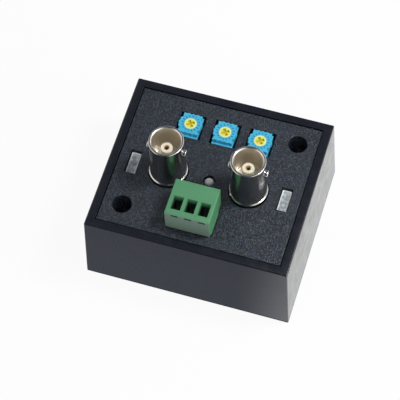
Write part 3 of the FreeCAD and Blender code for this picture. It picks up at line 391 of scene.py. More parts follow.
@dataclass(frozen=True)
class JackNickel:
    """Bright nickel on turned brass: mirror-like outside, duller down the reamed bore, and there painted
    lighter and warmer as painted light of its bounces.
    """

    name: str
    colour: str
    bore_painted_light: str
    roughness: float = 0.17
    bore_roughness: float = 0.42
    bore_mm: float = 4.15
    bore_soft_mm: float = 0.1
    mark_mm: float = 0.12
    mark_height_mm: float = 0.0012
    mark_draw: float = 40.0
    haze_mm: float = 1.6
    haze_dull: float = 0.08

    def build(self) -> bpy.types.Material:
        """Make the material.

        Returns:
            The finished material.
        """
        material, tree, output = new_material(self.name)
        spot = add_node(tree, "TexCoord").outputs["Object"]
        way = add_node(tree, "SeparateXYZ", {0: spot})
        # the two jacks stand alike on either side, so the way along X is taken without its sign
        mirrored = add_node(tree, "Math", {0: way.outputs["X"]}, operation="ABSOLUTE")
        across = add_node(tree, "Math", {0: mirrored.outputs[0]}, operation="SUBTRACT", _1=JACK_X * MM)
        along = add_node(tree, "Math", {0: way.outputs["Y"]}, operation="SUBTRACT", _1=JACK_Y * MM)
        arm = add_node(tree, "CombineXYZ", {0: across.outputs[0], 1: along.outputs[0]})
        reach = add_node(tree, "VectorMath", {0: arm.outputs[0]}, operation="LENGTH")
        inner = add_node(tree, "MapRange", {"Value": reach.outputs["Value"]},
                         _From_Min=(self.bore_mm + self.bore_soft_mm) * MM, _From_Max=self.bore_mm * MM)
        # down the bore the nickel is painted lighter and warmer: painted light of the bounces inside it
        tint = add_node(tree, "Mix", {0: inner.outputs["Result"]}, data_type="RGBA",
                        _6=linear(self.colour), _7=linear(self.bore_painted_light))
        # turning marks run round the axis, so the noise is drawn out across it
        drawn = add_node(tree, "Mapping", {"Vector": spot})
        drawn.inputs["Scale"].default_value = (1 / self.mark_draw, 1 / self.mark_draw, 1.0)
        marks = add_node(tree, "TexNoise", {"Vector": drawn.outputs["Vector"]},
                         _Scale=1 / (self.mark_mm * MM), _Detail=2.0)
        haze = add_node(tree, "TexNoise", {"Vector": spot}, _Scale=1 / (self.haze_mm * MM), _Detail=4.0)
        dull = add_node(tree, "Mix", {0: inner.outputs["Result"]}, data_type="FLOAT",
                        _2=self.roughness, _3=self.bore_roughness)
        gloss = add_node(tree, "Math", {0: haze.outputs["Fac"], 2: dull.outputs[0]},
                         operation="MULTIPLY_ADD", _1=self.haze_dull)
        bump = add_node(tree, "Bump", {"Height": marks.outputs["Fac"]},
                        _Strength=1.0, _Distance=self.mark_height_mm * MM)
        shader = add_node(tree, "BsdfPrincipled", {
            "Base Color": tint.outputs[2], "Roughness": gloss.outputs["Value"],
            "Normal": bump.outputs["Normal"]}, _Metallic=1.0)
        tree.links.new(shader.outputs["BSDF"], output.inputs["Surface"])
        return material


@dataclass(frozen=True)
class LampBlock:
    """Cast epoxy of a block lamp: white painted at its edges as a painted highlight, its heart grey and
    cloudy.
    """

    name: str
    edge: str
    heart: str
    cloud: str
    half_x_mm: float = 1.35
    half_y_mm: float = 3.35
    highlight_mm: float = 0.5
    highlight_full_mm: float = 0.1
    cloud_mm: float = 0.9
    cloud_from: float = 0.38
    cloud_full: float = 0.62
    cloud_height_mm: float = 0.05
    clear: float = 0.2
    roughness: float = 0.22
    ior: float = 1.5

    def build(self) -> bpy.types.Material:
        """Make the material.

        Returns:
            The finished material.
        """
        material, tree, output = new_material(self.name)
        spot = add_node(tree, "TexCoord").outputs["Object"]
        way = add_node(tree, "SeparateXYZ", {0: spot})
        # how far a spot lies inside the nearest edge of its block, on either side of the face
        mirrored = add_node(tree, "Math", {0: way.outputs["X"]}, operation="ABSOLUTE")
        inside = []
        for value, middle_mm, half_mm in ((mirrored.outputs[0], LAMP_X, self.half_x_mm),
                                          (way.outputs["Y"], LAMP_Y, self.half_y_mm)):
            off = add_node(tree, "Math", {0: value}, operation="SUBTRACT", _1=middle_mm * MM)
            reach = add_node(tree, "Math", {0: off.outputs[0]}, operation="ABSOLUTE")
            left = add_node(tree, "Math", {1: reach.outputs[0]}, operation="SUBTRACT", _0=half_mm * MM)
            inside.append(left.outputs[0])
        near = add_node(tree, "Math", {0: inside[0], 1: inside[1]}, operation="MINIMUM")
        # painted highlight: the block turns white near its edges
        rim = add_node(tree, "MapRange", {"Value": near.outputs[0]}, interpolation_type="SMOOTHSTEP",
                       _From_Min=self.highlight_mm * MM, _From_Max=self.highlight_full_mm * MM)
        noise = add_node(tree, "TexNoise", {"Vector": spot}, _Scale=1 / (self.cloud_mm * MM), _Detail=3.0)
        patch = add_node(tree, "MapRange", {"Value": noise.outputs["Fac"]},
                         _From_Min=self.cloud_from, _From_Max=self.cloud_full)
        heart = add_node(tree, "Mix", {0: patch.outputs["Result"]}, data_type="RGBA",
                         _6=linear(self.heart), _7=linear(self.cloud))
        tint = add_node(tree, "Mix", {0: rim.outputs["Result"], 6: heart.outputs[2]}, data_type="RGBA",
                        _7=linear(self.edge))
        bump = add_node(tree, "Bump", {"Height": noise.outputs["Fac"]},
                        _Strength=1.0, _Distance=self.cloud_height_mm * MM)
        shader = add_node(tree, "BsdfPrincipled", {
            "Base Color": tint.outputs[2], "Normal": bump.outputs["Normal"]},
            _Roughness=self.roughness, _IOR=self.ior)
        shader.inputs["Transmission Weight"].default_value = self.clear
        tree.links.new(shader.outputs["BSDF"], output.inputs["Surface"])
        return material


@dataclass(frozen=True)
class PlatedMetal:
    """A plated or bare metal: turned or rolled marks as a fine bump, and a slight uneven gloss."""

    name: str
    colour: str
    roughness: float
    gloss_low: float = 0.8
    gloss_high: float = 1.25
    mark_mm: float = 0.12
    mark_height_mm: float = 0.001
    mark_draw: float = 40.0
    haze_mm: float = 2.5

    def build(self) -> bpy.types.Material:
        """Make the material.

        Returns:
            The finished material.
        """
        material, tree, output = new_material(self.name)
        spot = add_node(tree, "TexCoord").outputs["Object"]
        drawn = add_node(tree, "Mapping", {"Vector": spot})
        drawn.inputs["Scale"].default_value = (1 / self.mark_draw, 1 / self.mark_draw, 1.0)
        marks = add_node(tree, "TexNoise", {"Vector": drawn.outputs["Vector"]},
                         _Scale=1 / (self.mark_mm * MM), _Detail=2.0)
        haze = add_node(tree, "TexNoise", {"Vector": spot}, _Scale=1 / (self.haze_mm * MM), _Detail=4.0)
        gloss = add_node(tree, "MapRange", {"Value": haze.outputs["Fac"]},
                         _From_Min=NOISE_LOW, _From_Max=NOISE_HIGH,
                         _To_Min=self.roughness * self.gloss_low, _To_Max=self.roughness * self.gloss_high)
        bump = add_node(tree, "Bump", {"Height": marks.outputs["Fac"]},
                        _Strength=1.0, _Distance=self.mark_height_mm * MM)
        shader = add_node(tree, "BsdfPrincipled", {
            "Roughness": gloss.outputs["Result"], "Normal": bump.outputs["Normal"]}, _Metallic=1.0)
        shader.inputs["Base Color"].default_value = linear(self.colour)
        tree.links.new(shader.outputs["BSDF"], output.inputs["Surface"])
        return material


@dataclass(frozen=True)
class CastResin:
    """Clear or milky cast resin of a lamp: lets light in, under a glossy skin that tiny clouds dull."""

    name: str
    colour: str
    clear: float
    roughness: float
    gloss_swing: float = 0.12
    cloud_mm: float = 0.8
    ior: float = 1.5

    def build(self) -> bpy.types.Material:
        """Make the material.

        Returns:
            The finished material.
        """
        material, tree, output = new_material(self.name)
        spot = add_node(tree, "TexCoord").outputs["Object"]
        cloud = add_node(tree, "TexNoise", {"Vector": spot}, _Scale=1 / (self.cloud_mm * MM), _Detail=3.0)
        gloss = add_node(tree, "MapRange", {"Value": cloud.outputs["Fac"]},
                         _From_Min=NOISE_LOW, _From_Max=NOISE_HIGH,
                         _To_Min=self.roughness, _To_Max=self.roughness + self.gloss_swing)
        shader = add_node(tree, "BsdfPrincipled", {"Roughness": gloss.outputs["Result"]}, _IOR=self.ior)
        shader.inputs["Base Color"].default_value = linear(self.colour)
        shader.inputs["Transmission Weight"].default_value = self.clear
        tree.links.new(shader.outputs["BSDF"], output.inputs["Surface"])
        return material


Finish = (MouldedPlastic | ErodedPlastic | HoodPlastic | RotorNylon | JackNickel | LampBlock | PlatedMetal
          | CastResin)

# ABS from a polished tool: near black, with a soft sheen on the case's walls and rim
BLACK_ABS = MouldedPlastic("black_abs_polished_tool", "0B0E17", "10131D", roughness=0.27,
                           grain_height_mm=0.002)
# ABS from a spark-eroded tool: a face whose fine grain breaks its sheen up, with specks painted lighter as
# painted glints
ERODED_ABS = ErodedPlastic("black_abs_eroded_tool", "040A15", "3A4654")
# PBT dyed green: satin, a little lighter in its mottles
GREEN_PBT = MouldedPlastic("green_pbt_terminal", "4C8C61", "55976B", roughness=0.5, grain_mm=0.25)
# the same PBT with glass in it: its front painted pale as a painted reflection, its funnels painted dark as
# painted shade
HOOD_PBT = HoodPlastic("green_pbt_hood", "47875C", "519367", front_sheen="7A9484", recess_shade="14301F")
# PBT dyed sky blue: smooth, with a slight gloss
BLUE_PBT = MouldedPlastic("blue_pbt_trimmer", "3DAFD6", "52BEE2", roughness=0.35, mottle_mm=1.2)
# nylon dyed yellow: lets a little light in; the sunk cross is painted a darker amber as painted shade
YELLOW_NYLON = RotorNylon("yellow_nylon_rotor", "DDE858", ring="E8F2B0", recess_shade="D8BC36")
# turned PTFE: waxy cream, with soft shadows
CREAM_PTFE = MouldedPlastic("cream_ptfe_insulator", "F2ECDA", "E8E0CA", roughness=0.45, subsurface=0.15)
# bright nickel on turned brass: mirrors the room outside, matt down the bore, where it is painted lighter and
# warmer as painted light
BRIGHT_NICKEL = JackNickel("bright_nickel_on_turned_brass", "B9B7B3", bore_painted_light="E2DBCF")
# a flash of gold over nickel: a dull yellow glint
GOLD_FLASH = PlatedMetal("gold_flashed_contact", "C7A15C", roughness=0.38)
# tin on rolled copper: pale and soft
TINNED_COPPER = PlatedMetal("tinned_copper", "C9C8C4", roughness=0.3)
# steel of the cages, painted near black as painted shade for the dark down the funnels
SHADED_CAGE_STEEL = PlatedMetal("black_zinc_on_steel_cage", "4A4845", roughness=0.45)
# clear zinc on headed steel: a cool satin grey
ZINC_STEEL = PlatedMetal("zinc_plated_steel", "B9BABC", roughness=0.3)
# cast clear epoxy: a glassy skin over a milky inside
CLEAR_EPOXY = CastResin("clear_epoxy_lens", "F0F2F2", clear=0.3, roughness=0.12)
# cast epoxy in a block: white painted at its edges as a painted highlight, cloudy grey inside
BLOCK_EPOXY = LampBlock("cast_epoxy_block", edge="EDF3F5", heart="939EA4", cloud="D3DCDF")
# solder mask on glass laminate: a glossy deep green
SOLDER_MASK = MouldedPlastic("green_solder_mask", "1D5A36", "226340", roughness=0.25, grain_mm=0.4)
# moulded epoxy of chips: matt charcoal
CHIP_EPOXY = MouldedPlastic("black_epoxy_chip", "17171A", "1D1D20", roughness=0.5)
# PVC sleeve shrunk on a can: glossy ink blue
SHRUNK_SLEEVE = MouldedPlastic("shrunk_pvc_sleeve", "191C2B", "1F2233", roughness=0.25)
# fired ceramic of chip parts: matt tan
FIRED_CERAMIC = MouldedPlastic("fired_ceramic_chip", "6C5B49", "7A6852", roughness=0.5)
# carbon ink on a phenolic board: dull brown
CARBON_TRACK = MouldedPlastic("carbon_track_board", "8A6A42", "7C5F3B", roughness=0.5)

SLOT_FINISHES: dict[str, Finish] = {
    "black_abs": BLACK_ABS,
    "textured_black_abs": ERODED_ABS,
    "screw_steel": ZINC_STEEL,
    "green_board": SOLDER_MASK,
    "nickel": BRIGHT_NICKEL,
    "cream_insulator": CREAM_PTFE,
    "contact_gold": GOLD_FLASH,
    "green_terminal": GREEN_PBT,
    "tinned_metal": TINNED_COPPER,
    "blue_trimmer": BLUE_PBT,
    "yellow_rotor": YELLOW_NYLON,
    "track_substrate": CARBON_TRACK,
    "clear_resin": CLEAR_EPOXY,
    "black_epoxy": CHIP_EPOXY,
    "can_sleeve": SHRUNK_SLEEVE,
    "chip_ceramic": FIRED_CERAMIC,
}


def round_edges(work: bmesh.types.BMesh, edges: list[bmesh.types.BMEdge], size_mm: float) -> None:
    """Round chosen edges of a form with three faces across.

    Args:
        work: the form.
        edges: its edges that are rounded.
        size_mm: how far from an edge its rounding starts.
    """
    bmesh.ops.bevel(work, geom=edges, offset=size_mm * MM, offset_type="OFFSET", segments=3, profile=0.5,
                    affect="EDGES", material=-1, clamp_overlap=True)


class Workshop:
    """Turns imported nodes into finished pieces, each with the material of its slot."""

    def __init__(self, frame: dict) -> None:
        """Look up the slot and body of each node.

        Args:
            frame: the loaded frame.
        """
        self.nodes = frame["nodes"]
        self.slots = {part["node"]: part["material_slot"] for part in frame["record"]["subparts"]}
        bodies = frame["record"]["behaviour"]["bodies"]
        self.bodies = {node: body for body, nodes in bodies.items() for node in nodes}
        self.materials: dict[str, bpy.types.Material] = {}

    def finish(self, node: str, finish: Finish | None = None) -> bpy.types.Material:
        """Give a node's material, made once for each finish.

        Args:
            node: the node's name.
            finish: the finish, or None for the one of the node's slot.

        Returns:
            The material.
        """
        chosen = finish or SLOT_FINISHES[self.slots[node]]
        if chosen.name not in self.materials:
            self.materials[chosen.name] = chosen.build()
        return self.materials[chosen.name]

    def dress(self, node: str) -> None:
        """Give a carried-over node the material of its slot.

        Args:
            node: the node's name.
        """
        item = self.nodes[node]
        item.data.materials.clear()
        item.data.materials.append(self.finish(node))
        LOG.info("dressed %s", node)

    def merged(self, node: str) -> bmesh.types.BMesh:
        """Copy a node's mesh, with its doubles merged and its flat faces whole.

        Args:
            node: the node's name.

        Returns:
            The copy.
        """
        work = bmesh.new()
        work.from_mesh(self.nodes[node].data)
        bmesh.ops.remove_doubles(work, verts=work.verts, dist=MERGE_GAP * MM)
        bmesh.ops.dissolve_limit(work, angle_limit=math.radians(FLAT_DEG), use_dissolve_boundaries=False,
                                 verts=work.verts, edges=work.edges, delimit=set())
        return work

    def keep(self, name: str, work: bmesh.types.BMesh, node: str, finish: Finish | None) -> bpy.types.Object:
        """Turn a finished form into a piece that stands for a node.

        Args:
            name: the piece's name.
            work: the form, which is freed.
            node: the node that it replaces.
            finish: the finish, or None for the one of the node's slot.

        Returns:
            The piece.
        """
        limit = math.radians(SMOOTH_DEG)
        for face in work.faces:
            face.smooth = True
        for edge in work.edges:
            edge.smooth = len(edge.link_faces) == 2 and edge.calc_face_angle(0.0) < limit
        mesh = bpy.data.meshes.new(name)
        work.to_mesh(mesh)
        work.free()
        item = bpy.data.objects.new(name, mesh)
        bpy.context.collection.objects.link(item)
        mesh.materials.append(self.finish(node, finish))
        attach(item, self.bodies[node])
        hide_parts(node)
        LOG.info("made %s for %s, %d faces", name, node, len(mesh.polygons))
        return item

    def refine(self, node: str, width_mm: float, finish: Finish | None = None,
               work: bmesh.types.BMesh | None = None, segments: int = 2) -> None:
        """Replace a node with a copy of itself whose sharp edges are rounded.

        Args:
            node: the node's name.
            width_mm: the width of the rounding.
            finish: the finish, or None for the one of its slot.
            work: a worked copy of the node, or None for a plain one.
            segments: faces across the rounding.
        """
        form = self.merged(node) if work is None else work
        item = self.keep(node + "_finished", form, node, finish)
        bevel = item.modifiers.new("edge", "BEVEL")
        bevel.width = width_mm * MM
        bevel.segments = segments
        bevel.limit_method = "ANGLE"
        bevel.angle_limit = math.radians(BEVEL_DEG)
        bevel.harden_normals = True


@dataclass
class Studio:
    """Camera, lamps, world and floor, in metres except where a name ends in mm."""

    # the camera's place, turn and lens, as fitted to corners and round rims of the photograph
    camera_mm: tuple = (80.149, -230.423, 458.374)
    right: tuple = (0.95601201, 0.29195012, -0.02839307)
    up: tuple = (-0.24336151, 0.84347719, 0.47887514)
    forward: tuple = (-0.16375656, 0.4509006, -0.87742375)
    lens_mm: float = 162.1
    sensor_mm: float = 36.0
    clip_start: float = 0.01

    # what mirrors see round the object: bands along a direction's X or Y, their tones and strengths
    front_band: tuple = (-0.7, -0.3)
    front_tone: str = "33363C"
    top_tone: str = "747C8A"
    side_band: tuple = (0.3, 0.65)
    side_level: float = 1.35
    soft_band: tuple = (-0.6, 0.6)
    soft_front: float = 0.56
    soft_back: float = 0.26

    # the floor, whose glow for mirrors grows from the front wall's middle to the right wall
    floor_size: float = 3.0
    floor_gap_mm: float = 0.05
    floor_reach_mm: float = 0.6
    floor_band: tuple = (0.012, 0.034)
    front_floor: float = 0.6
    side_floor: float = 1.55
    cold_tone: str = "DDE3F6"
    paper_tone: str = "F2F2F2"
    glow_share: float = 0.93

    # the lamps: a compact one over the back right of the object and a weak, wide one from the right
    aim: tuple = (0.0, 0.0, 0.02)
    key_place: tuple = (0.155, 0.05, 0.31)
    key_size: float = 0.07
    key_watts: float = 0.62
    fill_place: tuple = (0.60, -0.05, 0.30)
    fill_size: float = 0.3
    fill_watts: float = 0.9

    def build(self) -> None:
        """Make the camera, the lamps, the world and the floor."""
        self.camera()
        self.world()
        self.lamp("key", self.key_place, self.key_size, self.key_watts)
        self.lamp("fill", self.fill_place, self.fill_size, self.fill_watts)
        self.floor()
        bpy.context.scene.view_settings.view_transform = "Standard"

    def camera(self) -> None:
        """Put the camera where the photograph was taken from."""
        data = bpy.data.cameras.new("camera")
        data.lens = self.lens_mm
        data.sensor_width = self.sensor_mm
        data.clip_start = self.clip_start
        turn = Matrix((self.right, self.up, [-value for value in self.forward])).transposed().to_4x4()
        item = bpy.data.objects.new("camera", data)
        item.matrix_world = Matrix.Translation(Vector(self.camera_mm) * MM) @ turn
        bpy.context.collection.objects.link(item)
        bpy.context.scene.camera = item

    def lamp(self, name: str, place: tuple, size: float, watts: float) -> None:
        """Add a square lamp that faces the object.

        Args:
            name: the lamp's name.
            place: its middle, in metres.
            size: its side, in metres.
            watts: its power.
        """
        data = bpy.data.lights.new(name, "AREA")
        data.size = size
        data.energy = watts
        item = bpy.data.objects.new(name, data)
        turn = (Vector(self.aim) - Vector(place)).to_track_quat("-Z", "Y")
        item.matrix_world = Matrix.Translation(Vector(place)) @ turn.to_matrix().to_4x4()
        bpy.context.collection.objects.link(item)

    def seen(self, tree: bpy.types.NodeTree, path: bpy.types.Node) -> bpy.types.NodeSocket:
        """Tell the rays that look straight at the backdrop: camera, mirror and glass rays.

        Args:
            tree: the node tree that asks.
            path: its light path node.

        Returns:
            A factor, 1 for such rays and 0 for others.
        """
        first = add_node(tree, "Math", {0: path.outputs["Is Camera Ray"], 1: path.outputs["Is Glossy Ray"]},
                         operation="MAXIMUM")
        second = add_node(tree, "Math", {0: first.outputs[0], 1: path.outputs["Is Transmission Ray"]},
                          operation="MAXIMUM")
        return second.outputs[0]

    def world(self) -> None:
        """White for the eye; for mirrors white at the sides, grey overhead and dark towards the front."""
        world = bpy.data.worlds.new("studio")
        bpy.context.scene.world = world
        world.use_nodes = True
        tree = world.node_tree
        tree.nodes.clear()
        output = tree.nodes.new("ShaderNodeOutputWorld")
        place = add_node(tree, "TexCoord")
        way = add_node(tree, "SeparateXYZ", {0: place.outputs["Generated"]})
        front = add_node(tree, "MapRange", {"Value": way.outputs["Y"]}, interpolation_type="SMOOTHSTEP",
                         _From_Min=self.front_band[0], _From_Max=self.front_band[1])
        over = add_node(tree, "Mix", {0: front.outputs["Result"]}, data_type="RGBA",
                        _6=linear(self.front_tone), _7=linear(self.top_tone))
        across = add_node(tree, "Math", {0: way.outputs["X"]}, operation="ABSOLUTE")
        side = add_node(tree, "MapRange", {"Value": across.outputs[0]}, interpolation_type="SMOOTHSTEP",
                        _From_Min=self.side_band[0], _From_Max=self.side_band[1])
        mirror = add_node(tree, "Mix", {0: side.outputs["Result"], 6: over.outputs[2]}, data_type="RGBA",
                          _7=linear(WHITE))
        lift = add_node(tree, "MapRange", {"Value": side.outputs["Result"]},
                        _To_Min=1.0, _To_Max=self.side_level)
        path = add_node(tree, "LightPath")
        eye = add_node(tree, "Math", {
            0: path.outputs["Is Camera Ray"], 1: path.outputs["Is Transmission Ray"]}, operation="MAXIMUM")
        tone = add_node(tree, "Mix", {0: eye.outputs[0], 6: mirror.outputs[2]}, data_type="RGBA",
                        _7=linear(WHITE))
        level = add_node(tree, "Mix", {0: eye.outputs[0], 2: lift.outputs["Result"]},
                         data_type="FLOAT", _3=1.0)
        sharp = add_node(tree, "Background", {0: tone.outputs[2], 1: level.outputs[0]})
        fall = add_node(tree, "MapRange", {"Value": way.outputs["Y"]}, interpolation_type="SMOOTHSTEP",
                        _From_Min=self.soft_band[0], _From_Max=self.soft_band[1],
                        _To_Min=self.soft_front, _To_Max=self.soft_back)
        soft = add_node(tree, "Background", {1: fall.outputs["Result"]}, _Color=linear(WHITE))
        mix = add_node(tree, "MixShader", {0: self.seen(tree, path), 1: soft.outputs[0], 2: sharp.outputs[0]})
        tree.links.new(mix.outputs[0], output.inputs["Surface"])

    def floor(self) -> None:
        """Lay a white sheet under the object, which keeps its shadow."""
        mesh = bpy.data.meshes.new("floor")
        work = bmesh.new()
        bmesh.ops.create_grid(work, x_segments=1, y_segments=1, size=self.floor_size / 2,
                              matrix=Matrix.Translation((0.0, 0.0, -self.floor_gap_mm * MM)))
        work.to_mesh(mesh)
        work.free()
        mesh.materials.append(self.paper())
        item = bpy.data.objects.new("floor", mesh)
        bpy.context.collection.objects.link(item)

    def paper(self) -> bpy.types.Material:
        """Make the floor's paper: matt white to the eye; to mirrors it glows dim and cold in front as a
        painted shadow, and bright at the right as painted light.

        Returns:
            The finished material.
        """
        material, tree, output = new_material("white_paper_sweep")
        path = add_node(tree, "LightPath")
        place = add_node(tree, "TexCoord")
        way = add_node(tree, "SeparateXYZ", {0: place.outputs["Object"]})
        side = add_node(tree, "MapRange", {"Value": way.outputs["X"]}, interpolation_type="SMOOTHSTEP",
                        _From_Min=self.floor_band[0], _From_Max=self.floor_band[1])
        # for mirrors the floor glows dimmer in front, a painted shadow of the box, and brighter at the right,
        # painted light
        grade = add_node(tree, "Mix", {0: side.outputs["Result"]}, data_type="FLOAT",
                         _2=self.front_floor, _3=self.side_floor)
        level = add_node(tree, "Mix", {0: path.outputs["Is Glossy Ray"], 3: grade.outputs[0]},
                         data_type="FLOAT", _2=1.0)
        cold = add_node(tree, "Math", {0: path.outputs["Is Glossy Ray"], 1: side.outputs["Result"]},
                        operation="SUBTRACT", use_clamp=True)
        tone = add_node(tree, "Mix", {0: cold.outputs[0]}, data_type="RGBA",
                        _6=linear(WHITE), _7=linear(self.cold_tone))
        glow = add_node(tree, "Emission", {"Color": tone.outputs[2], "Strength": level.outputs[0]})
        matt = add_node(tree, "BsdfDiffuse", _Color=linear(self.paper_tone))
        share = add_node(tree, "Math", {0: self.seen(tree, path)}, operation="MULTIPLY", _1=self.glow_share)
        sheet = add_node(tree, "MixShader", {0: share.outputs[0], 1: matt.outputs[0], 2: glow.outputs[0]})
        # seen from below, and from the base plate just above it, the sheet lets the light through
        under = add_node(tree, "NewGeometry")
        short = add_node(tree, "Math", {0: path.outputs["Ray Length"]}, operation="LESS_THAN",
                         _1=self.floor_reach_mm * MM)
        gone = add_node(tree, "Math", {0: under.outputs["Backfacing"], 1: short.outputs[0]},
                        operation="MAXIMUM")
        clear = add_node(tree, "BsdfTransparent")
        mix = add_node(tree, "MixShader", {0: gone.outputs[0], 1: sheet.outputs[0], 2: clear.outputs[0]})
        tree.links.new(mix.outputs[0], output.inputs["Surface"])
        return material


@dataclass
class Case:
    """Moulded shell with its eroded face panel, base plate and the screws under it, in millimetres."""

    half_length: float = 26.05
    half_width: float = 21.8
    border: float = 0.4
    lip: float = 0.24
    shell_edge: float = 0.08
    panel_edge: float = 0.06
    base_edge: float = 0.12
    screw_edge: float = 0.08

    def make(self, shop: Workshop) -> None:
        """Finish the shell, the panel, the base plate and its screws.

        Args:
            shop: the workshop.
        """
        shop.refine("housing_shell", self.shell_edge)
        shop.refine("face_panel", self.panel_edge, work=self.panel(shop))
        shop.refine("base_plate", self.base_edge)
        shop.refine("case_screws", self.screw_edge)

    def panel(self, shop: Workshop) -> bmesh.types.BMesh:
        """Round the panel's outer edge wider than its cut-outs, as the tool does.

        Args:
            shop: the workshop.

        Returns:
            The worked panel.
        """
        work = shop.merged("face_panel")
        round_edges(work, [edge for edge in work.edges if self.outer(edge)], self.lip)
        return work

    def outer(self, edge: bmesh.types.BMEdge) -> bool:
        """Tell whether an edge of the panel runs round its top.

        Args:
            edge: the edge.

        Returns:
            True where both ends lie at the face's height, near the outline.
        """
        spots = [vert.co / MM for vert in edge.verts]
        return all(spot.z >= FACE_Z - LEVEL_GAP
                   and (abs(spot.x) > self.half_length - self.border
                        or abs(spot.y) > self.half_width - self.border) for spot in spots)


@dataclass
class Jack:
    """A bayonet jack: nickel barrel with two lugs, pale insulator and a spring contact, in millimetres."""

    signal: Signal
    lug_reach: float = 5.5
    lug_height: float = 8.0
    lug_round: float = 0.3
    body_edge: float = 0.09
    insulator_edge: float = 0.12
    contact_edge: float = 0.04
    finger_zone: float = 38.0
    finger_size: float = 0.42
    finger_limit: float = 0.8

    @property
    def middle(self) -> Vector:
        """The jack's axis, in metres."""
        return Vector((self.signal.value * JACK_X, JACK_Y)) * MM

    def make(self, shop: Workshop) -> None:
        """Finish the jack's three pieces.

        Args:
            shop: the workshop.
        """
        name = self.signal.name.lower() + "_jack"
        shop.refine(name + "_body", self.body_edge, work=self.body(shop, name + "_body"), segments=3)
        shop.refine(name + "_insulator", self.insulator_edge)
        shop.refine(name + "_contact", self.contact_edge, work=self.contact(shop, name + "_contact"))

    def body(self, shop: Workshop, node: str) -> bmesh.types.BMesh:
        """Round the ends of the lugs.

        Args:
            shop: the workshop.
            node: the barrel's node.

        Returns:
            The worked barrel.
        """
        work = shop.merged(node)
        edges = [edge for edge in work.edges
                 if all(abs(vert.co.x - self.middle.x) > self.lug_reach * MM
                        and vert.co.z > (FACE_Z + self.lug_height) * MM for vert in edge.verts)]
        round_edges(work, edges, self.lug_round)
        return work

    def contact(self, shop: Workshop, node: str) -> bmesh.types.BMesh:
        """Close the spring fingers in at the mouth, as a slit contact stands.

        Args:
            shop: the workshop.
            node: the contact's node.

        Returns:
            The worked contact.
        """
        work = shop.merged(node)
        for vert in work.verts:
            arm = vert.co.xy - self.middle
            if vert.co.z > self.finger_zone * MM and arm.length < self.finger_limit * MM:
                vert.co.xy = self.middle + arm.normalized() * self.finger_size * MM
        return work


@dataclass
class Trimmer:
    """A small open trimmer: fluted cap, notched face, yellow rotor, track and terminals, in millimetres."""

    place: Place
    shelf: float = 26.5
    shelf_step: float = 0.05
    shelf_slack: float = 0.01
    cap_level: float = 27.0
    upright: float = 0.3
    flutes: int = 16
    flute_depth: float = 0.24
    flute_start: float = 3.02
    half_size: float = 3.6
    slices: int = 22
    body_edge: float = 0.06
    rotor_edge: float = 0.05

    @property
    def middle(self) -> Vector:
        """The rotor's axis, in metres."""
        return Vector((self.place.value * ROTOR_PITCH + ROTOR_SHIFT, ROTOR_Y)) * MM

    def make(self, shop: Workshop) -> None:
        """Finish the trimmer's four pieces.

        Args:
            shop: the workshop.
        """
        name = self.place.name.lower() + "_trimmer"
        shop.refine(name + "_body", self.body_edge, work=self.body(shop, name + "_body"))
        shop.refine(name + "_rotor", self.rotor_edge)
        shop.dress(name + "_track")
        shop.dress(name + "_terminals")

    def body(self, shop: Workshop, node: str) -> bmesh.types.BMesh:
        """Press shallow flutes into the cap's edge.

        Args:
            shop: the workshop.
            node: the body's node.

        Returns:
            The worked body.
        """
        work = shop.merged(node)
        for level in (self.shelf, self.shelf - self.shelf_step):
            self.slice(work, Vector((0, 0, level * MM)), Vector((0, 0, 1)))
        for step in range(self.slices + 1):
            reach = (step / self.slices * 2 - 1) * self.half_size * MM
            self.slice(work, Vector((self.middle.x + reach, 0, 0)), Vector((1, 0, 0)))
            self.slice(work, Vector((0, self.middle.y + reach, 0)), Vector((0, 1, 0)))
        for vert in work.verts:
            arm = vert.co.xy - self.middle
            above = vert.co.z >= (self.shelf - self.shelf_slack) * MM
            if above and arm.length >= self.flute_start * MM and self.on_cap(vert):
                press = self.flute_depth * MM * (0.5 - 0.5 * math.cos(self.flutes * math.atan2(arm.y, arm.x)))
                vert.co.xy = self.middle + arm.normalized() * (arm.length - press)
        return work

    def on_cap(self, vert: bmesh.types.BMVert) -> bool:
        """Tell whether a corner belongs to an upright face that reaches up to the cap.

        Args:
            vert: the corner.

        Returns:
            True where it does.
        """
        return any(abs(face.normal.z) < self.upright
                   and max(corner.co.z for corner in face.verts) > self.cap_level * MM
                   for face in vert.link_faces)

    def slice(self, work: bmesh.types.BMesh, point: Vector, normal: Vector) -> None:
        """Cut every face along a plane, with nothing taken off."""
        bmesh.ops.bisect_plane(work, geom=work.verts[:] + work.edges[:] + work.faces[:], dist=CUT_GAP * MM,
                               plane_co=point, plane_no=normal)


@dataclass
class TerminalPlug:
    """The pluggable block: hood with wire funnels, carrier, contacts, and three cages with their screws."""

    hood_edge: float = 0.16
    carrier_edge: float = 0.1
    cage_edge: float = 0.06
    screw_edge: float = 0.05

    def make(self, shop: Workshop) -> None:
        """Finish the hood, the carrier, the contacts and the three clamps.

        Args:
            shop: the workshop.
        """
        shop.refine("plug_hood", self.hood_edge, HOOD_PBT, segments=3)
        shop.refine("plug_contact_carrier", self.carrier_edge)
        shop.dress("plug_contacts")
        for place in Place:
            name = place.name.lower() + "_clamp"
            # the cages' steel is painted near black: painted shade for the dark down the funnels
            shop.refine(name + "_cage", self.cage_edge, SHADED_CAGE_STEEL)
            shop.refine(name + "_screw", self.screw_edge)


@dataclass
class TerminalHeader:
    """The socket that stays on the board under the plug, with its three pins."""

    edge: float = 0.1

    def make(self, shop: Workshop) -> None:
        """Finish the socket and dress its pins."""
        shop.refine("terminal_header", self.edge)
        shop.dress("header_pins")


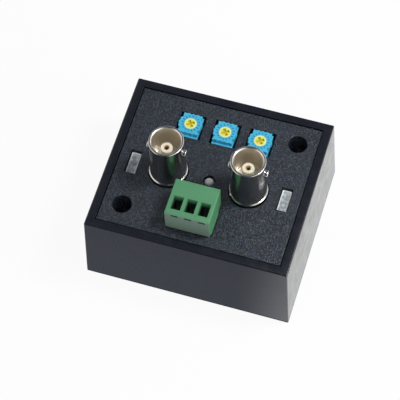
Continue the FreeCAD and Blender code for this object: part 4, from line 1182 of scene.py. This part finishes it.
@dataclass
class BlockLamp:
    """A clear block lamp behind a window of the face, with its two leads, in millimetres."""

    side: Side
    top: float = 25.8
    level: float = 0.9
    edge: float = 0.08
    frame: float = 0.4
    dish: float = 0.22

    def make(self, shop: Workshop) -> None:
        """Finish the block and dress its leads.

        Args:
            shop: the workshop.
        """
        name = self.side.name.lower() + "_lamp"
        shop.refine(name, self.edge, BLOCK_EPOXY, work=self.block(shop, name))
        shop.dress(name + "_leads")

    def block(self, shop: Workshop, node: str) -> bmesh.types.BMesh:
        """Sink the face of the block inside a narrow frame, as it is cast.

        Args:
            shop: the workshop.
            node: the lamp's node.

        Returns:
            The worked block.
        """
        work = shop.merged(node)
        faces = [face for face in work.faces if face.normal.z > self.level
                 and min(vert.co.z for vert in face.verts) > (self.top - LEVEL_GAP) * MM]
        bmesh.ops.inset_region(work, faces=faces, thickness=self.frame * MM, depth=-self.dish * MM,
                               use_boundary=True, use_even_offset=True)
        return work


@dataclass
class RoundLamp:
    """The round indicator lamp between the jacks, with its two leads, in millimetres."""

    dome_start: float = 24.9
    dome_top: float = 26.4
    lift: float = 0.35
    edge: float = 0.05

    def make(self, shop: Workshop) -> None:
        """Draw the lamp's dome up a little, finish the lamp and dress its leads.

        Args:
            shop: the workshop.
        """
        work = shop.merged("round_lamp")
        for vert in work.verts:
            share = (vert.co.z / MM - self.dome_start) / (self.dome_top - self.dome_start)
            vert.co.z += max(0.0, share) * self.lift * MM
        shop.refine("round_lamp", self.edge, work=work)
        shop.dress("round_lamp_leads")


@dataclass
class Electronics:
    """The board, its screws and the parts soldered under the face, with rounded edges in millimetres."""

    rounded: dict[str, float] = field(default_factory=lambda: {
        "board_screws": 0.08, "amplifier_chip": 0.1, "voltage_regulator": 0.06, "bridge_rectifier": 0.1,
        "smoothing_capacitor": 0.12, "coupling_capacitor": 0.1})
    plain: tuple = ("circuit_board", "amplifier_chip_legs", "chip_resistors", "chip_capacitors")

    def make(self, shop: Workshop) -> None:
        """Finish the larger parts and dress the small ones.

        Args:
            shop: the workshop.
        """
        for node, width in self.rounded.items():
            shop.refine(node, width)
        for node in self.plain:
            shop.dress(node)


def main() -> None:
    """Build everything in order."""
    logging.basicConfig(level=logging.INFO, format="%(message)s")
    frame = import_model()
    shop = Workshop(frame)
    Studio().build()
    pieces = [Case(), TerminalPlug(), TerminalHeader(), RoundLamp(), Electronics()]
    pieces += [Jack(signal) for signal in Signal]
    pieces += [Trimmer(place) for place in Place]
    pieces += [BlockLamp(side) for side in Side]
    for piece in pieces:
        piece.make(shop)
        LOG.info("finished %s", type(piece).__name__)


if __name__ == "__main__":
    main()
